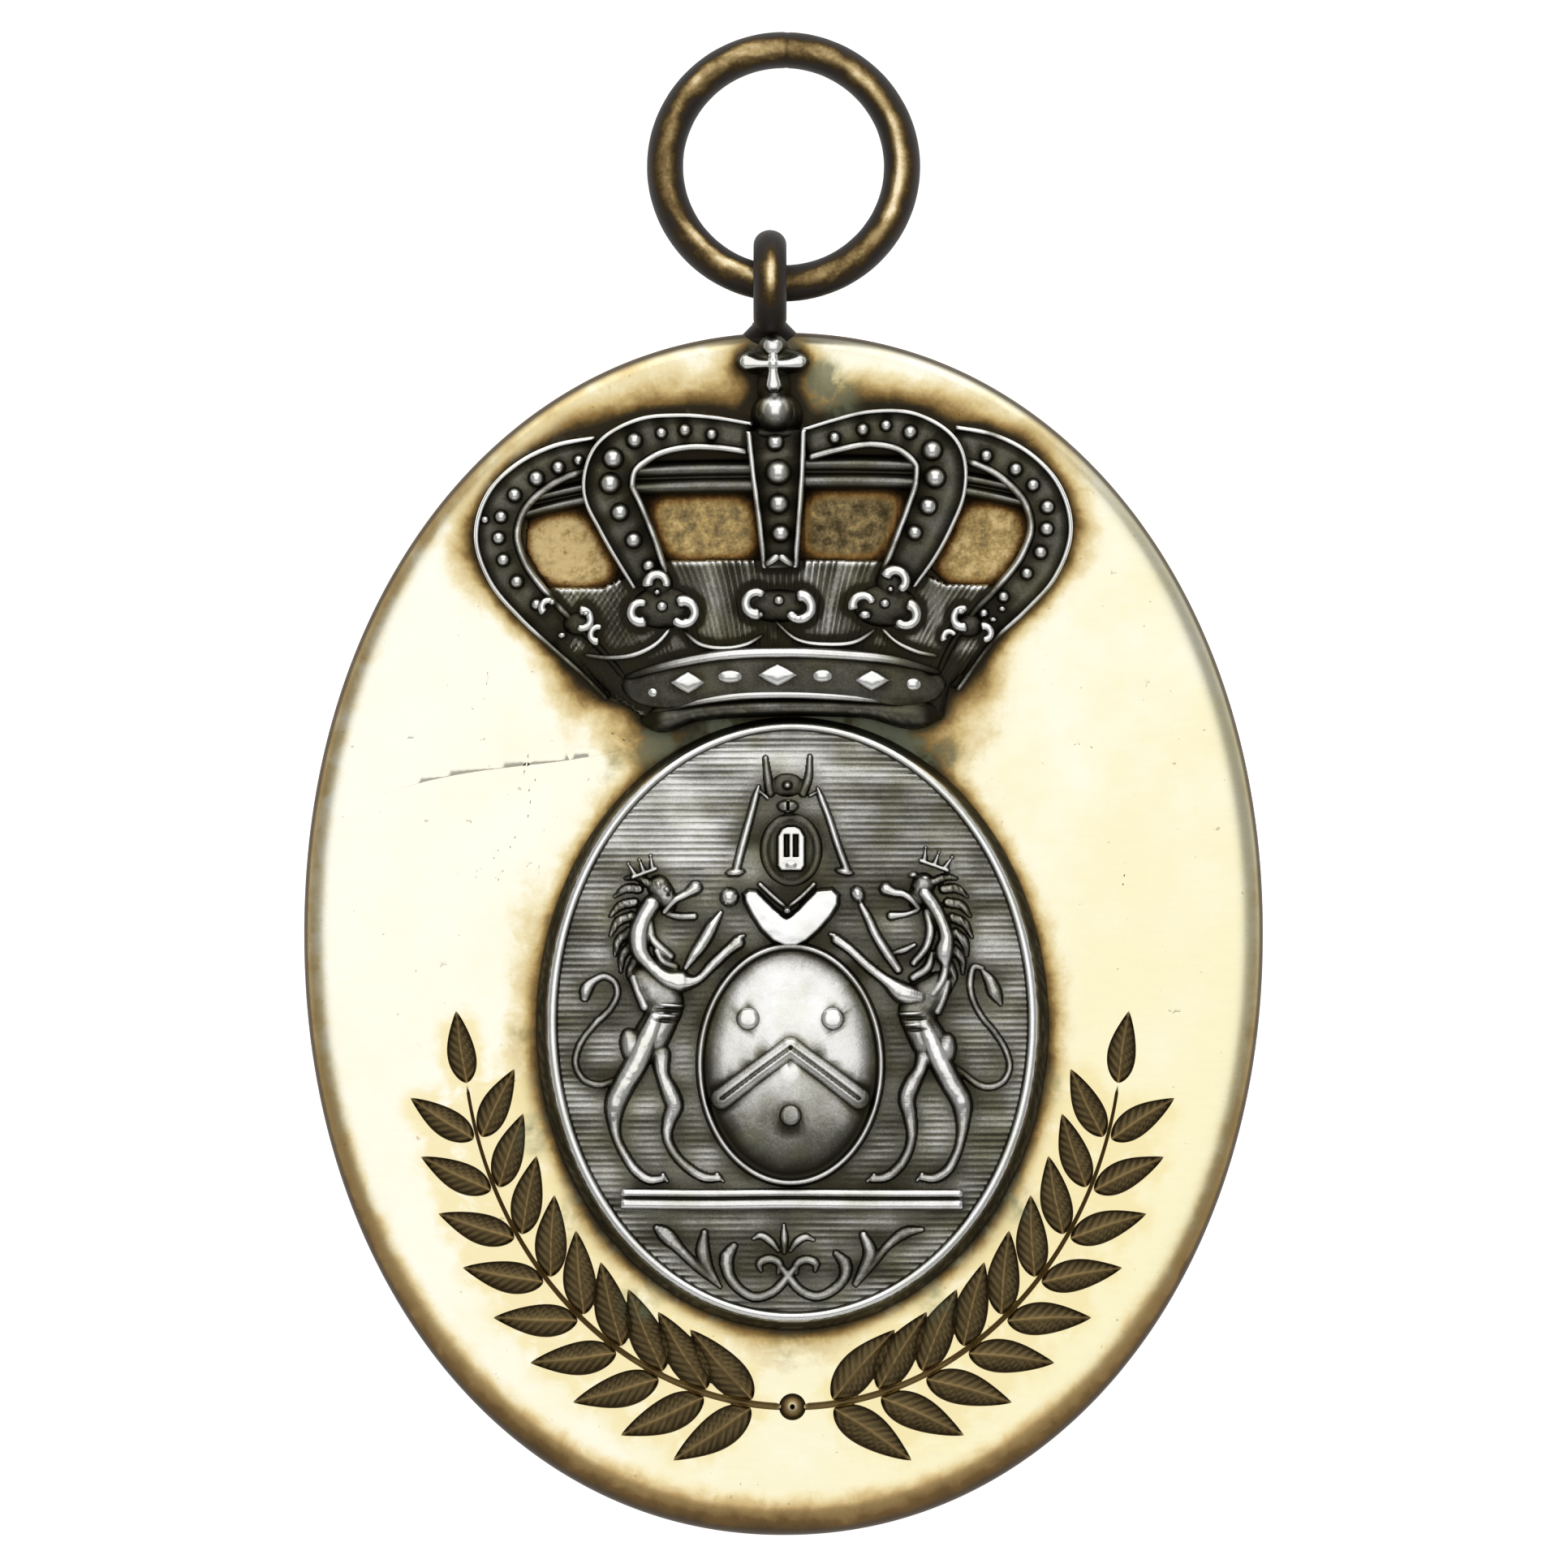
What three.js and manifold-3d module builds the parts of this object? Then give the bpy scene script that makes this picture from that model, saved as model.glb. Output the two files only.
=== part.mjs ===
// Oval office badge: a gilt brass plate with a silver crown, a silver relief medallion and a ring.
// Millimetres. The badge lies on its flat back, its face towards +Z and its ring towards +Y.
// The origin is the centre of the plate's back.

import * as THREE from 'three';
import { mergeVertices } from 'three/addons/utils/BufferGeometryUtils.js';
import { ConvexGeometry } from 'three/addons/geometries/ConvexGeometry.js';
import Module from 'manifold-3d';

const wasm = await Module();
wasm.setup();

// Driving dimensions of the plate
const plateWidth = 63.8;
const plateHeight = 80.0;
const plateThick = 2.0;
const plateExponent = 2.07;
const plateSides = 72;

// Ring and eye
const ringWire = 2.43;
const ringRadius = 7.875;
const ringSides = 10;
const ringSteps = 32;
const eyeWire = 2.0;
const eyeWidth = 2.2;
const eyeHole = 1.55;
const eyeCentre = { x: -0.9, y: 43.2, z: 3.55 };
const eyeLower = 0.92;
const eyeSteps = 18;
const eyeSides = 8;

// Fixing posts cast on the backs of the mounts, and their holes in the plate
const postRadius = 0.8;
const postClearance = 0.3;
const postRecess = 0.2;
const postSides = 10;

// Medallion and its shield
const medallionCentre = { x: 0.59, y: -5.85 };
const medallionSides = 48;
const fieldTop = 3.2;
const figureFloor = 3.0;
const shieldCentre = { x: 0.46, y: -8.64 };
const shieldSides = 24;
const mirrorX = 0.45;

// Engraved branches
const branchCentre = { x: 0.59, y: -6.02 };
const branchHalfX = 21.9;
const branchHalfY = 25.4;
const branchDepth = 0.35;
const leafPairs = 9;
const leafLength = 6.2;
const leafHalf = 1.3;
const berryRadius = 0.9;

// Makes a list of rows with named columns.
function table(columns, rows) {
  return rows.map((row) => Object.fromEntries(columns.map((name, i) => [name, row[i]])));
}

// Closed mesh of a geometry, as a solid that can be joined and cut.
function toSolid(geometry) {
  const bare = geometry.clone();
  bare.deleteAttribute('normal');
  bare.deleteAttribute('uv');
  const merged = mergeVertices(bare, 1e-4);
  const vertProperties = new Float32Array(merged.attributes.position.array);
  const triVerts = new Uint32Array(merged.index.array);
  return new wasm.Manifold(new wasm.Mesh({ numProp: 3, vertProperties, triVerts }));
}

// Geometry of a finished solid.
function toGeometry(solid) {
  const mesh = solid.getMesh();
  const geometry = new THREE.BufferGeometry();
  geometry.setAttribute('position', new THREE.BufferAttribute(mesh.vertProperties, 3));
  geometry.setIndex(new THREE.BufferAttribute(mesh.triVerts, 1));
  geometry.computeVertexNormals();
  return geometry;
}

function join(solids) {
  return solids.reduce((whole, next) => whole.add(next));
}

// Solid between rings of points, each with as many points as the flat shape that closes the ends.
function loft(rings, capShape) {
  const count = capShape.length;
  const last = (rings.length - 1) * count;
  const turn = THREE.ShapeUtils.isClockWise(capShape) ? -1 : 1;
  const index = [];
  for (let r = 0; r < rings.length - 1; r += 1) {
    for (let i = 0; i < count; i += 1) {
      const a = r * count + i;
      const b = r * count + ((i + 1) % count);
      index.push(a, b, b + count, a, b + count, a + count);
    }
  }
  for (const face of THREE.ShapeUtils.triangulateShape(capShape, [])) {
    const corners = face.map((k) => capShape[k]);
    const [a, b, c] = THREE.ShapeUtils.area(corners) * turn > 0 ? face : [...face].reverse();
    index.push(c, b, a, last + a, last + b, last + c);
  }
  const geometry = new THREE.BufferGeometry().setFromPoints(rings.flat());
  geometry.setIndex(index);
  return toSolid(geometry);
}

// Point of an oval at an angle; an exponent over 2 makes the oval a little fuller.
function ovalPoint(halfX, halfY, angle, exponent = 2) {
  const power = 2 / exponent;
  const c = Math.cos(angle);
  const s = Math.sin(angle);
  const x = halfX * Math.sign(c) * Math.abs(c) ** power;
  const y = halfY * Math.sign(s) * Math.abs(s) ** power;
  return new THREE.Vector2(x, y);
}

// Stack of ovals from the bottom up, closed at both ends. Rows: halfX, halfY, z.
function ovalStack(centre, rows, sides, exponent) {
  const rings = rows.map(({ halfX, halfY, z }) => {
    const ring = [];
    for (let i = 0; i < sides; i += 1) {
      const p = ovalPoint(halfX, halfY, (i * 2 * Math.PI) / sides, exponent);
      ring.push(new THREE.Vector3(centre.x + p.x, centre.y + p.y, z));
    }
    return ring;
  });
  return loft(rings, rings[0].map((p) => new THREE.Vector2(p.x, p.y)));
}

// Low dome: a ring on the floor, a smaller ring higher up and a point on top.
function domePoints({ x, y, half, top }, floor, sides, stretch = 1) {
  const points = [new THREE.Vector3(x, y, top)];
  for (let i = 0; i < sides; i += 1) {
    const angle = ((i + 0.5) * 2 * Math.PI) / sides;
    const dx = Math.cos(angle) * half * stretch;
    const dy = Math.sin(angle) * half;
    points.push(new THREE.Vector3(x + dx, y + dy, floor));
    points.push(new THREE.Vector3(x + dx * 0.72, y + dy * 0.72, floor + (top - floor) * 0.72));
  }
  return points;
}

function dome(row, floor, sides = 8, stretch = 1) {
  return toSolid(new ConvexGeometry(domePoints(row, floor, sides, stretch)));
}

// Ring on the floor and one point above it, for thin raised lines.
function conePoints({ x, y, half, top }, floor, sides) {
  const points = [new THREE.Vector3(x, y, top)];
  for (let i = 0; i < sides; i += 1) {
    const angle = (i * 2 * Math.PI) / sides;
    points.push(new THREE.Vector3(x + Math.cos(angle) * half, y + Math.sin(angle) * half, floor));
  }
  return points;
}

// Rounded limb through rows of x, y, half, top.
function limb(rows, floor, sides = 5) {
  const spans = [];
  for (let i = 1; i < rows.length; i += 1) {
    const points = [...domePoints(rows[i - 1], floor, sides), ...domePoints(rows[i], floor, sides)];
    spans.push(toSolid(new ConvexGeometry(points)));
  }
  return join(spans);
}

// Thin raised line with a sharp crest through rows of x, y, half, top.
function line(rows, floor, sides = 6) {
  const spans = [];
  for (let i = 1; i < rows.length; i += 1) {
    const points = [...conePoints(rows[i - 1], floor, sides), ...conePoints(rows[i], floor, sides)];
    spans.push(toSolid(new ConvexGeometry(points)));
  }
  return join(spans);
}

// Rows evenly spaced on a smooth curve through the given rows.
function smooth(rows, count) {
  const names = Object.keys(rows[0]);
  const path = new THREE.CatmullRomCurve3(rows.map((row) => new THREE.Vector3(row.x, row.y, 0)));
  const out = [];
  for (let i = 0; i < count; i += 1) {
    const t = i / (count - 1);
    const at = path.getUtoTmapping(t) * (rows.length - 1);
    const k = Math.min(rows.length - 2, Math.floor(at));
    const part = at - k;
    const row = {};
    for (const name of names) {
      row[name] = rows[k][name] + (rows[k + 1][name] - rows[k][name]) * part;
    }
    const point = path.getPointAt(t);
    row.x = point.x;
    row.y = point.y;
    out.push(row);
  }
  return out;
}

// Band with a raised edge on both sides, swept along rows of x, y, half, top.
const bandSection = table(['across', 'rise'], [
  [-1.0, -0.55],
  [-0.92, 0.0],
  [-0.76, 0.0],
  [-0.62, -0.4],
  [0.62, -0.4],
  [0.76, 0.0],
  [0.92, 0.0],
  [1.0, -0.55],
]);

function band(rows, floor) {
  const shape = [[-1, -2], ...bandSection.map((p) => [p.across, p.rise]), [1, -2]];
  const cap = shape.map(([x, y]) => new THREE.Vector2(x, y));
  const rings = rows.map((row, i) => {
    const before = rows[Math.max(0, i - 1)];
    const after = rows[Math.min(rows.length - 1, i + 1)];
    const along = new THREE.Vector2(after.x - before.x, after.y - before.y).normalize();
    const place = (across, z) => new THREE.Vector3(
      row.x + along.y * across * row.half,
      row.y - along.x * across * row.half,
      z,
    );
    return shape.map(([across, rise]) => place(across, rise < -1 ? floor : row.top + rise));
  });
  return loft(rings, cap);
}

// Flat plate of a given outline between two heights.
function slab(outline, floor, top) {
  const shape = new THREE.Shape(outline.map(([x, y]) => new THREE.Vector2(x, y)));
  const geometry = new THREE.ExtrudeGeometry(shape, { depth: top - floor, bevelEnabled: false });
  geometry.translate(0, 0, floor);
  return toSolid(geometry);
}

function post(x, y, radius, floor, top) {
  const geometry = new THREE.CylinderGeometry(radius, radius, top - floor, postSides);
  geometry.rotateX(Math.PI / 2);
  geometry.translate(x, y, (floor + top) / 2);
  return toSolid(geometry);
}

// Places of the fixing posts, two under the band of the crown, one under its orb
const crownPosts = table(['x', 'y'], [
  [-6.6, 16.9],
  [5.8, 17.0],
  [-0.45, 33.4],
]);
const medallionPosts = table(['x', 'y'], [
  [0.59, 5.2],
  [0.59, -17.5],
]);
const postFoot = 0.6;

function posts(rows) {
  return join(rows.map(({ x, y }) => post(x, y, postRadius, postRecess, plateThick + postFoot)));
}

// Plate

// Levels of the plate's edge, rounded over towards the face: inset, z
const plateEdge = table(['inset', 'z'], [
  [0.35, 0.0],
  [0.0, 0.35],
  [0.0, 0.9],
  [0.3, 1.45],
  [1.0, 1.85],
  [1.9, plateThick],
]);

function plateBlank() {
  const rows = plateEdge.map(({ inset, z }) => ({
    halfX: plateWidth / 2 - inset,
    halfY: plateHeight / 2 - inset,
    z,
  }));
  return ovalStack({ x: 0, y: 0 }, rows, plateSides, plateExponent);
}

// Wire eye, standing edge-on at the top rim, with the solder that runs down onto the plate
function eye() {
  const radius = eyeHole + eyeWire / 2;
  const loop = new THREE.TorusGeometry(radius, eyeWire / 2, eyeSides, eyeSteps);
  loop.scale(1, 1, eyeWidth / eyeWire);
  loop.rotateY(Math.PI / 2);
  const place = loop.attributes.position;
  for (let i = 0; i < place.count; i += 1) {
    place.setY(i, place.getY(i) * (place.getY(i) < 0 ? eyeLower : 1));
  }
  loop.translate(eyeCentre.x, eyeCentre.y, eyeCentre.z);
  const neck = { half: eyeWidth / 2 + 0.25, reach: 2.2, top: 4.2 };
  const y0 = eyeCentre.y - radius;
  const outline = [
    [eyeCentre.x - neck.half, y0 + 0.9],
    [eyeCentre.x - neck.half - 0.15, 40.6],
    [eyeCentre.x - neck.half - neck.reach, 39.4],
    [eyeCentre.x - neck.half - neck.reach, 38.6],
    [eyeCentre.x + neck.half + neck.reach, 38.6],
    [eyeCentre.x + neck.half + neck.reach, 39.4],
    [eyeCentre.x + neck.half + 0.15, 40.6],
    [eyeCentre.x + neck.half, y0 + 0.9],
  ];
  return toSolid(loop).add(slab(outline.reverse(), 0.4, 1.9));
}

// Leaf outline, pointed at both ends and widest behind its middle
const leafSection = table(['along', 'across'], [
  [0.0, 0.0],
  [0.3, 0.95],
  [0.65, 0.82],
  [1.0, 0.0],
  [0.65, -0.82],
  [0.3, -0.95],
]);

function leaf(base, direction, scale) {
  const along = new THREE.Vector2(Math.cos(direction), Math.sin(direction));
  const outline = leafSection.map((p) => {
    const forward = p.along * leafLength * scale;
    const sideways = p.across * leafHalf * scale;
    return [
      base.x + along.x * forward - along.y * sideways,
      base.y + along.y * forward + along.x * sideways,
    ];
  });
  return slab(outline.reverse(), plateThick - branchDepth, plateThick + 1);
}

// Point on the branch's stem and the way it grows; side is -1 for the left branch, 1 for the right
function stemAt(turn, side) {
  const angle = -Math.PI / 2 + side * turn;
  const x = branchCentre.x + branchHalfX * Math.cos(angle);
  const y = branchCentre.y + branchHalfY * Math.sin(angle);
  const dx = -side * branchHalfX * Math.sin(angle);
  const dy = side * branchHalfY * Math.cos(angle);
  return { x, y, direction: Math.atan2(dy, dx) };
}

function branch(side) {
  const firstTurn = 0.11;
  const lastTurn = 1.4;
  const leafAngle = 0.72;
  const leafStart = 0.45;
  const stemHalf = 0.22;
  const tipOverlap = 0.03;
  const cuts = [];
  const stem = [];
  for (let i = 0; i <= leafPairs; i += 1) {
    const turn = firstTurn + ((lastTurn - firstTurn) * i) / leafPairs;
    const at = stemAt(turn, side);
    const scale = 1 - 0.22 * (i / leafPairs);
    if (i === leafPairs) {
      cuts.push(leaf(stemAt(turn - tipOverlap, side), at.direction, scale));
    } else {
      for (const hand of [-1, 1]) {
        const direction = at.direction + hand * leafAngle;
        const base = {
          x: at.x + Math.cos(direction) * leafStart,
          y: at.y + Math.sin(direction) * leafStart,
        };
        cuts.push(leaf(base, direction, scale));
      }
    }
    stem.push(at);
  }
  const edge = (hand) => stem.map((at) => [
    at.x - hand * stemHalf * Math.sin(at.direction),
    at.y + hand * stemHalf * Math.cos(at.direction),
  ]);
  const outline = [...edge(-1), ...edge(1).reverse()];
  const turned = side > 0 ? outline : outline.reverse();
  cuts.push(slab(turned, plateThick - branchDepth, plateThick + 1));
  return join(cuts);
}

function plate() {
  const holes = [...crownPosts, ...medallionPosts];
  const drill = holes.map(({ x, y }) => post(x, y, postRadius + postClearance, -1, plateThick + 1));
  const berry = post(
    branchCentre.x,
    branchCentre.y - branchHalfY,
    berryRadius,
    plateThick - branchDepth,
    plateThick + 1,
  );
  const solid = plateBlank().add(eye());
  return solid.subtract(join([branch(-1), branch(1), berry, ...drill]));
}

// Crown

const rowNames = ['x', 'y', 'half', 'top'];
const innerLeftArch = table(rowNames, [
  [-2.2, 32.9, 1.1, 4.3],
  [-6.3, 33.4, 1.2, 4.6],
  [-9.7, 32.7, 1.5, 4.9],
  [-11.6, 30.4, 1.7, 5.0],
  [-10.9, 28.0, 1.65, 4.8],
  [-9.7, 25.6, 1.45, 4.5],
  [-8.6, 23.2, 1.2, 4.1],
]);
const innerRightArch = table(rowNames, [
  [1.4, 32.5, 1.1, 4.3],
  [5.4, 33.6, 1.2, 4.6],
  [8.8, 33.0, 1.5, 4.9],
  [10.4, 30.8, 1.75, 5.0],
  [9.9, 28.3, 1.7, 4.8],
  [8.7, 25.8, 1.5, 4.5],
  [7.5, 23.6, 1.2, 4.1],
]);
const outerLeftArch = table(rowNames, [
  [-12.3, 31.9, 1.2, 3.6],
  [-16.3, 30.6, 1.35, 3.9],
  [-18.5, 28.7, 1.5, 4.1],
  [-19.0, 26.3, 1.55, 4.1],
  [-18.2, 23.9, 1.45, 3.9],
  [-16.5, 21.8, 1.35, 3.7],
  [-14.7, 20.1, 1.2, 3.4],
]);
const outerRightArch = table(rowNames, [
  [11.2, 32.6, 1.2, 3.6],
  [15.2, 31.2, 1.35, 3.9],
  [17.2, 29.2, 1.45, 4.1],
  [17.7, 26.8, 1.5, 4.1],
  [16.8, 24.3, 1.45, 3.9],
  [15.1, 22.3, 1.35, 3.7],
  [13.2, 20.5, 1.2, 3.4],
]);
const centreArch = table(rowNames, [
  [-0.5, 33.4, 2.0, 5.0],
  [-0.4, 30.6, 1.85, 5.3],
  [-0.3, 27.6, 1.5, 5.1],
  [-0.25, 24.2, 1.15, 4.6],
]);
const archSteps = 9;

// Pearls on each arch: how far along its rows the first and last lie, how many, and their size
const archPearls = table(['arch', 'first', 'last', 'count', 'half'], [
  [innerLeftArch, 0.14, 0.8, 9, 0.55],
  [innerRightArch, 0.12, 0.8, 9, 0.55],
  [outerLeftArch, 0.18, 0.84, 8, 0.45],
  [outerRightArch, 0.16, 0.92, 9, 0.45],
]);
const centrePearls = table(rowNames, [
  [-0.5, 32.6, 0.5, 5.6],
  [-0.35, 30.6, 0.75, 5.9],
  [-0.33, 28.55, 0.62, 5.7],
  [-0.2, 26.6, 0.55, 5.4],
]);

function arches() {
  const solids = [band(centreArch, plateThick)];
  for (const { arch, first, last, count, half } of archPearls) {
    solids.push(band(smooth(arch, archSteps), plateThick));
    const fine = smooth(arch, 101);
    for (let i = 0; i < count; i += 1) {
      const row = fine[Math.round(100 * (first + ((last - first) * i) / (count - 1)))];
      const pearl = { x: row.x, y: row.y, half, top: row.top + half * 0.5 };
      solids.push(dome(pearl, row.top - 0.5, 6));
    }
  }
  for (const row of centrePearls) {
    solids.push(dome(row, row.top - 1.1, 8));
  }
  return join(solids);
}

// Lower body of the crown behind the fleurons, and the far arches seen through the gaps
const capTop = 3.1;
const capOutline = [
  [-8.6, 13.9], [-0.2, 14.6], [10.2, 14.2], [11.0, 16.3], [13.2, 18.6], [15.4, 21.0],
  [14.6, 23.2], [10.6, 23.4], [7.6, 24.9], [-0.2, 25.0], [-8.4, 24.9], [-12.0, 23.2],
  [-16.2, 22.8], [-16.6, 20.8], [-13.9, 18.3], [-11.4, 15.8],
];
const farArches = [
  table(rowNames, [[-9.9, 30.5, 1.2, 3.1], [-1.5, 30.5, 1.2, 3.1]]),
  table(rowNames, [[1.0, 30.7, 1.2, 3.1], [8.9, 30.7, 1.2, 3.1]]),
  table(rowNames, [[-17.2, 28.6, 0.9, 2.9], [-12.4, 29.4, 0.9, 2.9]]),
  table(rowNames, [[11.0, 30.0, 0.9, 2.9], [16.3, 29.2, 0.9, 2.9]]),
];

// Jewelled band
const circletRows = table(rowNames, [
  [-11.0, 15.75, 1.3, 3.3],
  [-9.2, 16.0, 1.45, 3.8],
  [-6.3, 16.75, 1.5, 4.3],
  [-3.4, 17.1, 1.55, 4.6],
  [0.0, 17.2, 1.55, 4.7],
  [3.2, 17.15, 1.55, 4.6],
  [6.2, 16.8, 1.5, 4.3],
  [8.9, 16.5, 1.45, 3.8],
  [10.8, 16.3, 1.3, 3.3],
]);
const lowerMould = table(rowNames, [
  [-8.6, 14.4, 0.6, 3.4],
  [-5.8, 14.95, 0.6, 3.8],
  [-0.2, 15.3, 0.6, 4.0],
  [5.2, 15.2, 0.6, 3.8],
  [10.0, 14.8, 0.6, 3.4],
]);
const jewels = table(['x', 'y', 'halfX', 'halfY', 'top', 'sides'], [
  [-8.6, 16.1, 0.45, 0.45, 3.9, 6],
  [-6.33, 16.7, 0.95, 0.6, 4.6, 4],
  [-3.53, 17.1, 0.75, 0.42, 4.8, 6],
  [-0.4, 17.2, 1.1, 0.62, 5.0, 4],
  [2.57, 17.15, 0.65, 0.45, 4.8, 6],
  [5.86, 16.8, 0.95, 0.6, 4.6, 4],
  [8.55, 16.5, 0.5, 0.4, 4.0, 6],
]);

function jewel({ x, y, halfX, halfY, top, sides }) {
  const floor = top - 1.0;
  const points = [new THREE.Vector3(x, y, top)];
  for (let i = 0; i < sides; i += 1) {
    const angle = (i * 2 * Math.PI) / sides;
    points.push(new THREE.Vector3(x + halfX * Math.cos(angle), y + halfY * Math.sin(angle), floor));
  }
  return toSolid(new ConvexGeometry(points));
}

function circlet() {
  return join([
    band(circletRows, plateThick),
    limb(lowerMould, plateThick),
    ...jewels.map(jewel),
  ]);
}

// Fleurons: three curled leaves round a pearl. Rows: middle, size, first leaf's turn, leaves
const fleurons = table(['x', 'y', 'size', 'leaves'], [
  [-8.0, 21.75, 1.0, [90, 200, -20]],
  [-0.35, 22.1, 1.0, [195, -15]],
  [6.9, 22.1, 1.0, [75, 170, -40]],
  [-14.2, 21.2, 0.9, [120, 240, 0]],
  [13.1, 21.2, 0.9, [60, 180, -60]],
]);
const leafReach = 1.5;
const leafCurl = 0.72;
const leafWire = 0.36;
const curlSpans = 4;

function curledLeaf(x, y, size, turn) {
  const cx = x + Math.cos(turn) * leafReach * size;
  const cy = y + Math.sin(turn) * leafReach * size;
  const rows = [];
  for (let i = 0; i <= curlSpans; i += 1) {
    const angle = turn + Math.PI * (0.35 + (1.3 * i) / curlSpans) - Math.PI;
    rows.push({
      x: cx + Math.cos(angle) * leafCurl * size,
      y: cy + Math.sin(angle) * leafCurl * size,
      half: leafWire * size,
      top: 4.4,
    });
  }
  return line(rows, capTop - 0.2, 4);
}

function fleuron({ x, y, size, leaves }) {
  const curls = leaves.map((degrees) => curledLeaf(x, y, size, THREE.MathUtils.degToRad(degrees)));
  return join([...curls, dome({ x, y, half: 0.55 * size, top: 4.7 }, capTop - 0.2, 6)]);
}

// Hanging scallops between the fleurons, and the chevron at the foot of the middle arch
const scallops = [
  table(['x', 'y'], [[-12.6, 18.5], [-9.9, 18.7], [-7.9, 19.7]]),
  table(['x', 'y'], [[-6.5, 20.0], [-4.0, 18.95], [-1.5, 19.8]]),
  table(['x', 'y'], [[-0.4, 20.6], [2.9, 19.2], [6.2, 20.1]]),
  table(['x', 'y'], [[6.6, 20.0], [8.3, 18.9], [10.3, 18.5]]),
];
const chevron = table(rowNames, [
  [-1.3, 24.45, 0.3, 5.0],
  [-0.3, 25.15, 0.32, 5.1],
  [0.7, 24.45, 0.3, 5.0],
]);

function trims() {
  const lines = scallops.map((rows) => {
    const full = rows.map((row) => ({ ...row, half: 0.25, top: 3.6 }));
    return line(smooth(full, 5), capTop - 0.2, 4);
  });
  return join([...lines, line(chevron, 3.9)]);
}

// Orb with the cross on it
const orb = { x: -0.45, y: 34.35, half: 1.65, top: 6.0 };
const crossTop = 4.7;
const crossY = 37.9;
const crossX = -0.7;

function orbAndCross() {
  const backing = [
    [-1.6, 35.0], [-1.5, 36.6], [-3.0, 37.2], [-3.0, 38.7], [-1.6, 38.9], [-1.2, 39.55],
    [-0.2, 39.55], [0.2, 38.9], [1.6, 38.7], [1.6, 37.2], [0.2, 36.6], [0.7, 35.0],
  ];
  const arm = [
    [-2.0, -0.42], [-0.35, -0.2], [-0.5, -1.75], [0.5, -1.75], [0.35, -0.2], [2.0, -0.42],
    [2.0, 0.42], [0.35, 0.2], [0.3, 1.0], [-0.3, 1.0], [-0.35, 0.2], [-2.0, 0.42],
  ].map(([x, y]) => [crossX + x, crossY + y]);
  const ball = { x: crossX, y: 39.0, half: 0.6, top: 4.9 };
  return join([
    slab(backing.reverse(), plateThick, 3.4),
    slab(arm, 3.2, crossTop),
    dome(ball, 3.2, 8),
    dome(orb, plateThick, 12),
  ]);
}

function crown() {
  const body = slab(capOutline, plateThick, capTop);
  const far = farArches.map((rows) => limb(rows, plateThick));
  return join([
    body, ...far, arches(), circlet(), ...fleurons.map(fleuron), trims(), orbAndCross(),
    posts(crownPosts),
  ]);
}

// Medallion

const medallionLevels = table(['halfX', 'halfY', 'z'], [
  [17.0, 20.3, plateThick],
  [17.0, 20.3, 2.5],
  [16.3, 19.8, 3.8],
  [16.05, 19.6, 4.0],
  [15.75, 19.35, 4.0],
  [15.45, 19.05, fieldTop],
]);
const shieldLevels = table(['halfX', 'halfY', 'z'], [
  [6.35, 8.2, figureFloor],
  [6.1, 7.95, 3.95],
  [5.8, 7.65, 4.05],
  [5.45, 7.3, 3.65],
  [4.4, 6.2, 4.0],
  [2.6, 3.9, 4.25],
  [1.0, 1.5, 4.35],
]);
const shieldTop = 4.5;

// The lion on the left; the one on the right is its mirror image.
const lionLimbs = [
  table(rowNames, [[-9.35, 3.5, 0.9, 4.3], [-7.9, 3.1, 0.85, 4.5], [-6.0, 3.0, 0.5, 4.3]]),
  table(rowNames, [[-7.9, 2.3, 0.6, 4.2], [-6.4, 1.4, 0.35, 4.0]]),
  table(rowNames, [
    [-8.7, 2.6, 1.2, 4.5], [-9.2, 0.4, 1.5, 4.7], [-8.9, -1.8, 1.4, 4.8], [-7.4, -3.0, 1.4, 4.8],
    [-8.1, -5.2, 1.15, 4.5], [-8.8, -6.9, 1.15, 4.5],
  ]),
  table(rowNames, [[-6.8, -2.9, 0.8, 4.6], [-5.0, -1.9, 0.5, 4.4], [-3.0, -0.5, 0.45, 4.2]]),
  table(rowNames, [[-6.6, -2.4, 0.7, 4.5], [-4.8, 0.5, 0.5, 4.3], [-3.6, 2.5, 0.55, 4.3]]),
  table(rowNames, [
    [-9.0, -7.2, 1.15, 4.5], [-10.0, -9.0, 0.9, 4.5], [-11.0, -11.0, 0.8, 4.3],
    [-11.0, -13.4, 0.4, 4.0], [-9.8, -15.6, 0.38, 4.0], [-8.4, -16.3, 0.42, 4.0],
  ]),
  table(rowNames, [
    [-8.3, -7.4, 0.9, 4.3], [-7.9, -9.3, 0.65, 4.3], [-7.3, -11.0, 0.6, 4.2],
    [-7.6, -13.4, 0.4, 4.0], [-6.5, -15.3, 0.38, 4.0], [-4.4, -16.2, 0.42, 4.0],
  ]),
];
const lionTail = table(rowNames, [
  [-10.2, -8.6, 0.3, 3.9], [-12.1, -9.9, 0.3, 3.9], [-13.5, -9.3, 0.3, 3.9],
  [-13.7, -8.0, 0.3, 3.9], [-13.0, -6.5, 0.3, 3.9], [-11.5, -4.8, 0.3, 3.9],
  [-11.0, -3.6, 0.3, 3.9], [-11.9, -2.8, 0.32, 3.9], [-13.1, -3.4, 0.5, 4.0],
]);
const lionLocks = table(rowNames, [
  [-10.4, 2.6, 0.6, 4.0], [-10.8, 1.0, 0.65, 4.0], [-10.8, -0.7, 0.65, 4.0],
  [-10.3, -2.2, 0.6, 4.0], [-9.5, 4.7, 0.55, 4.2],
]);
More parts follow.
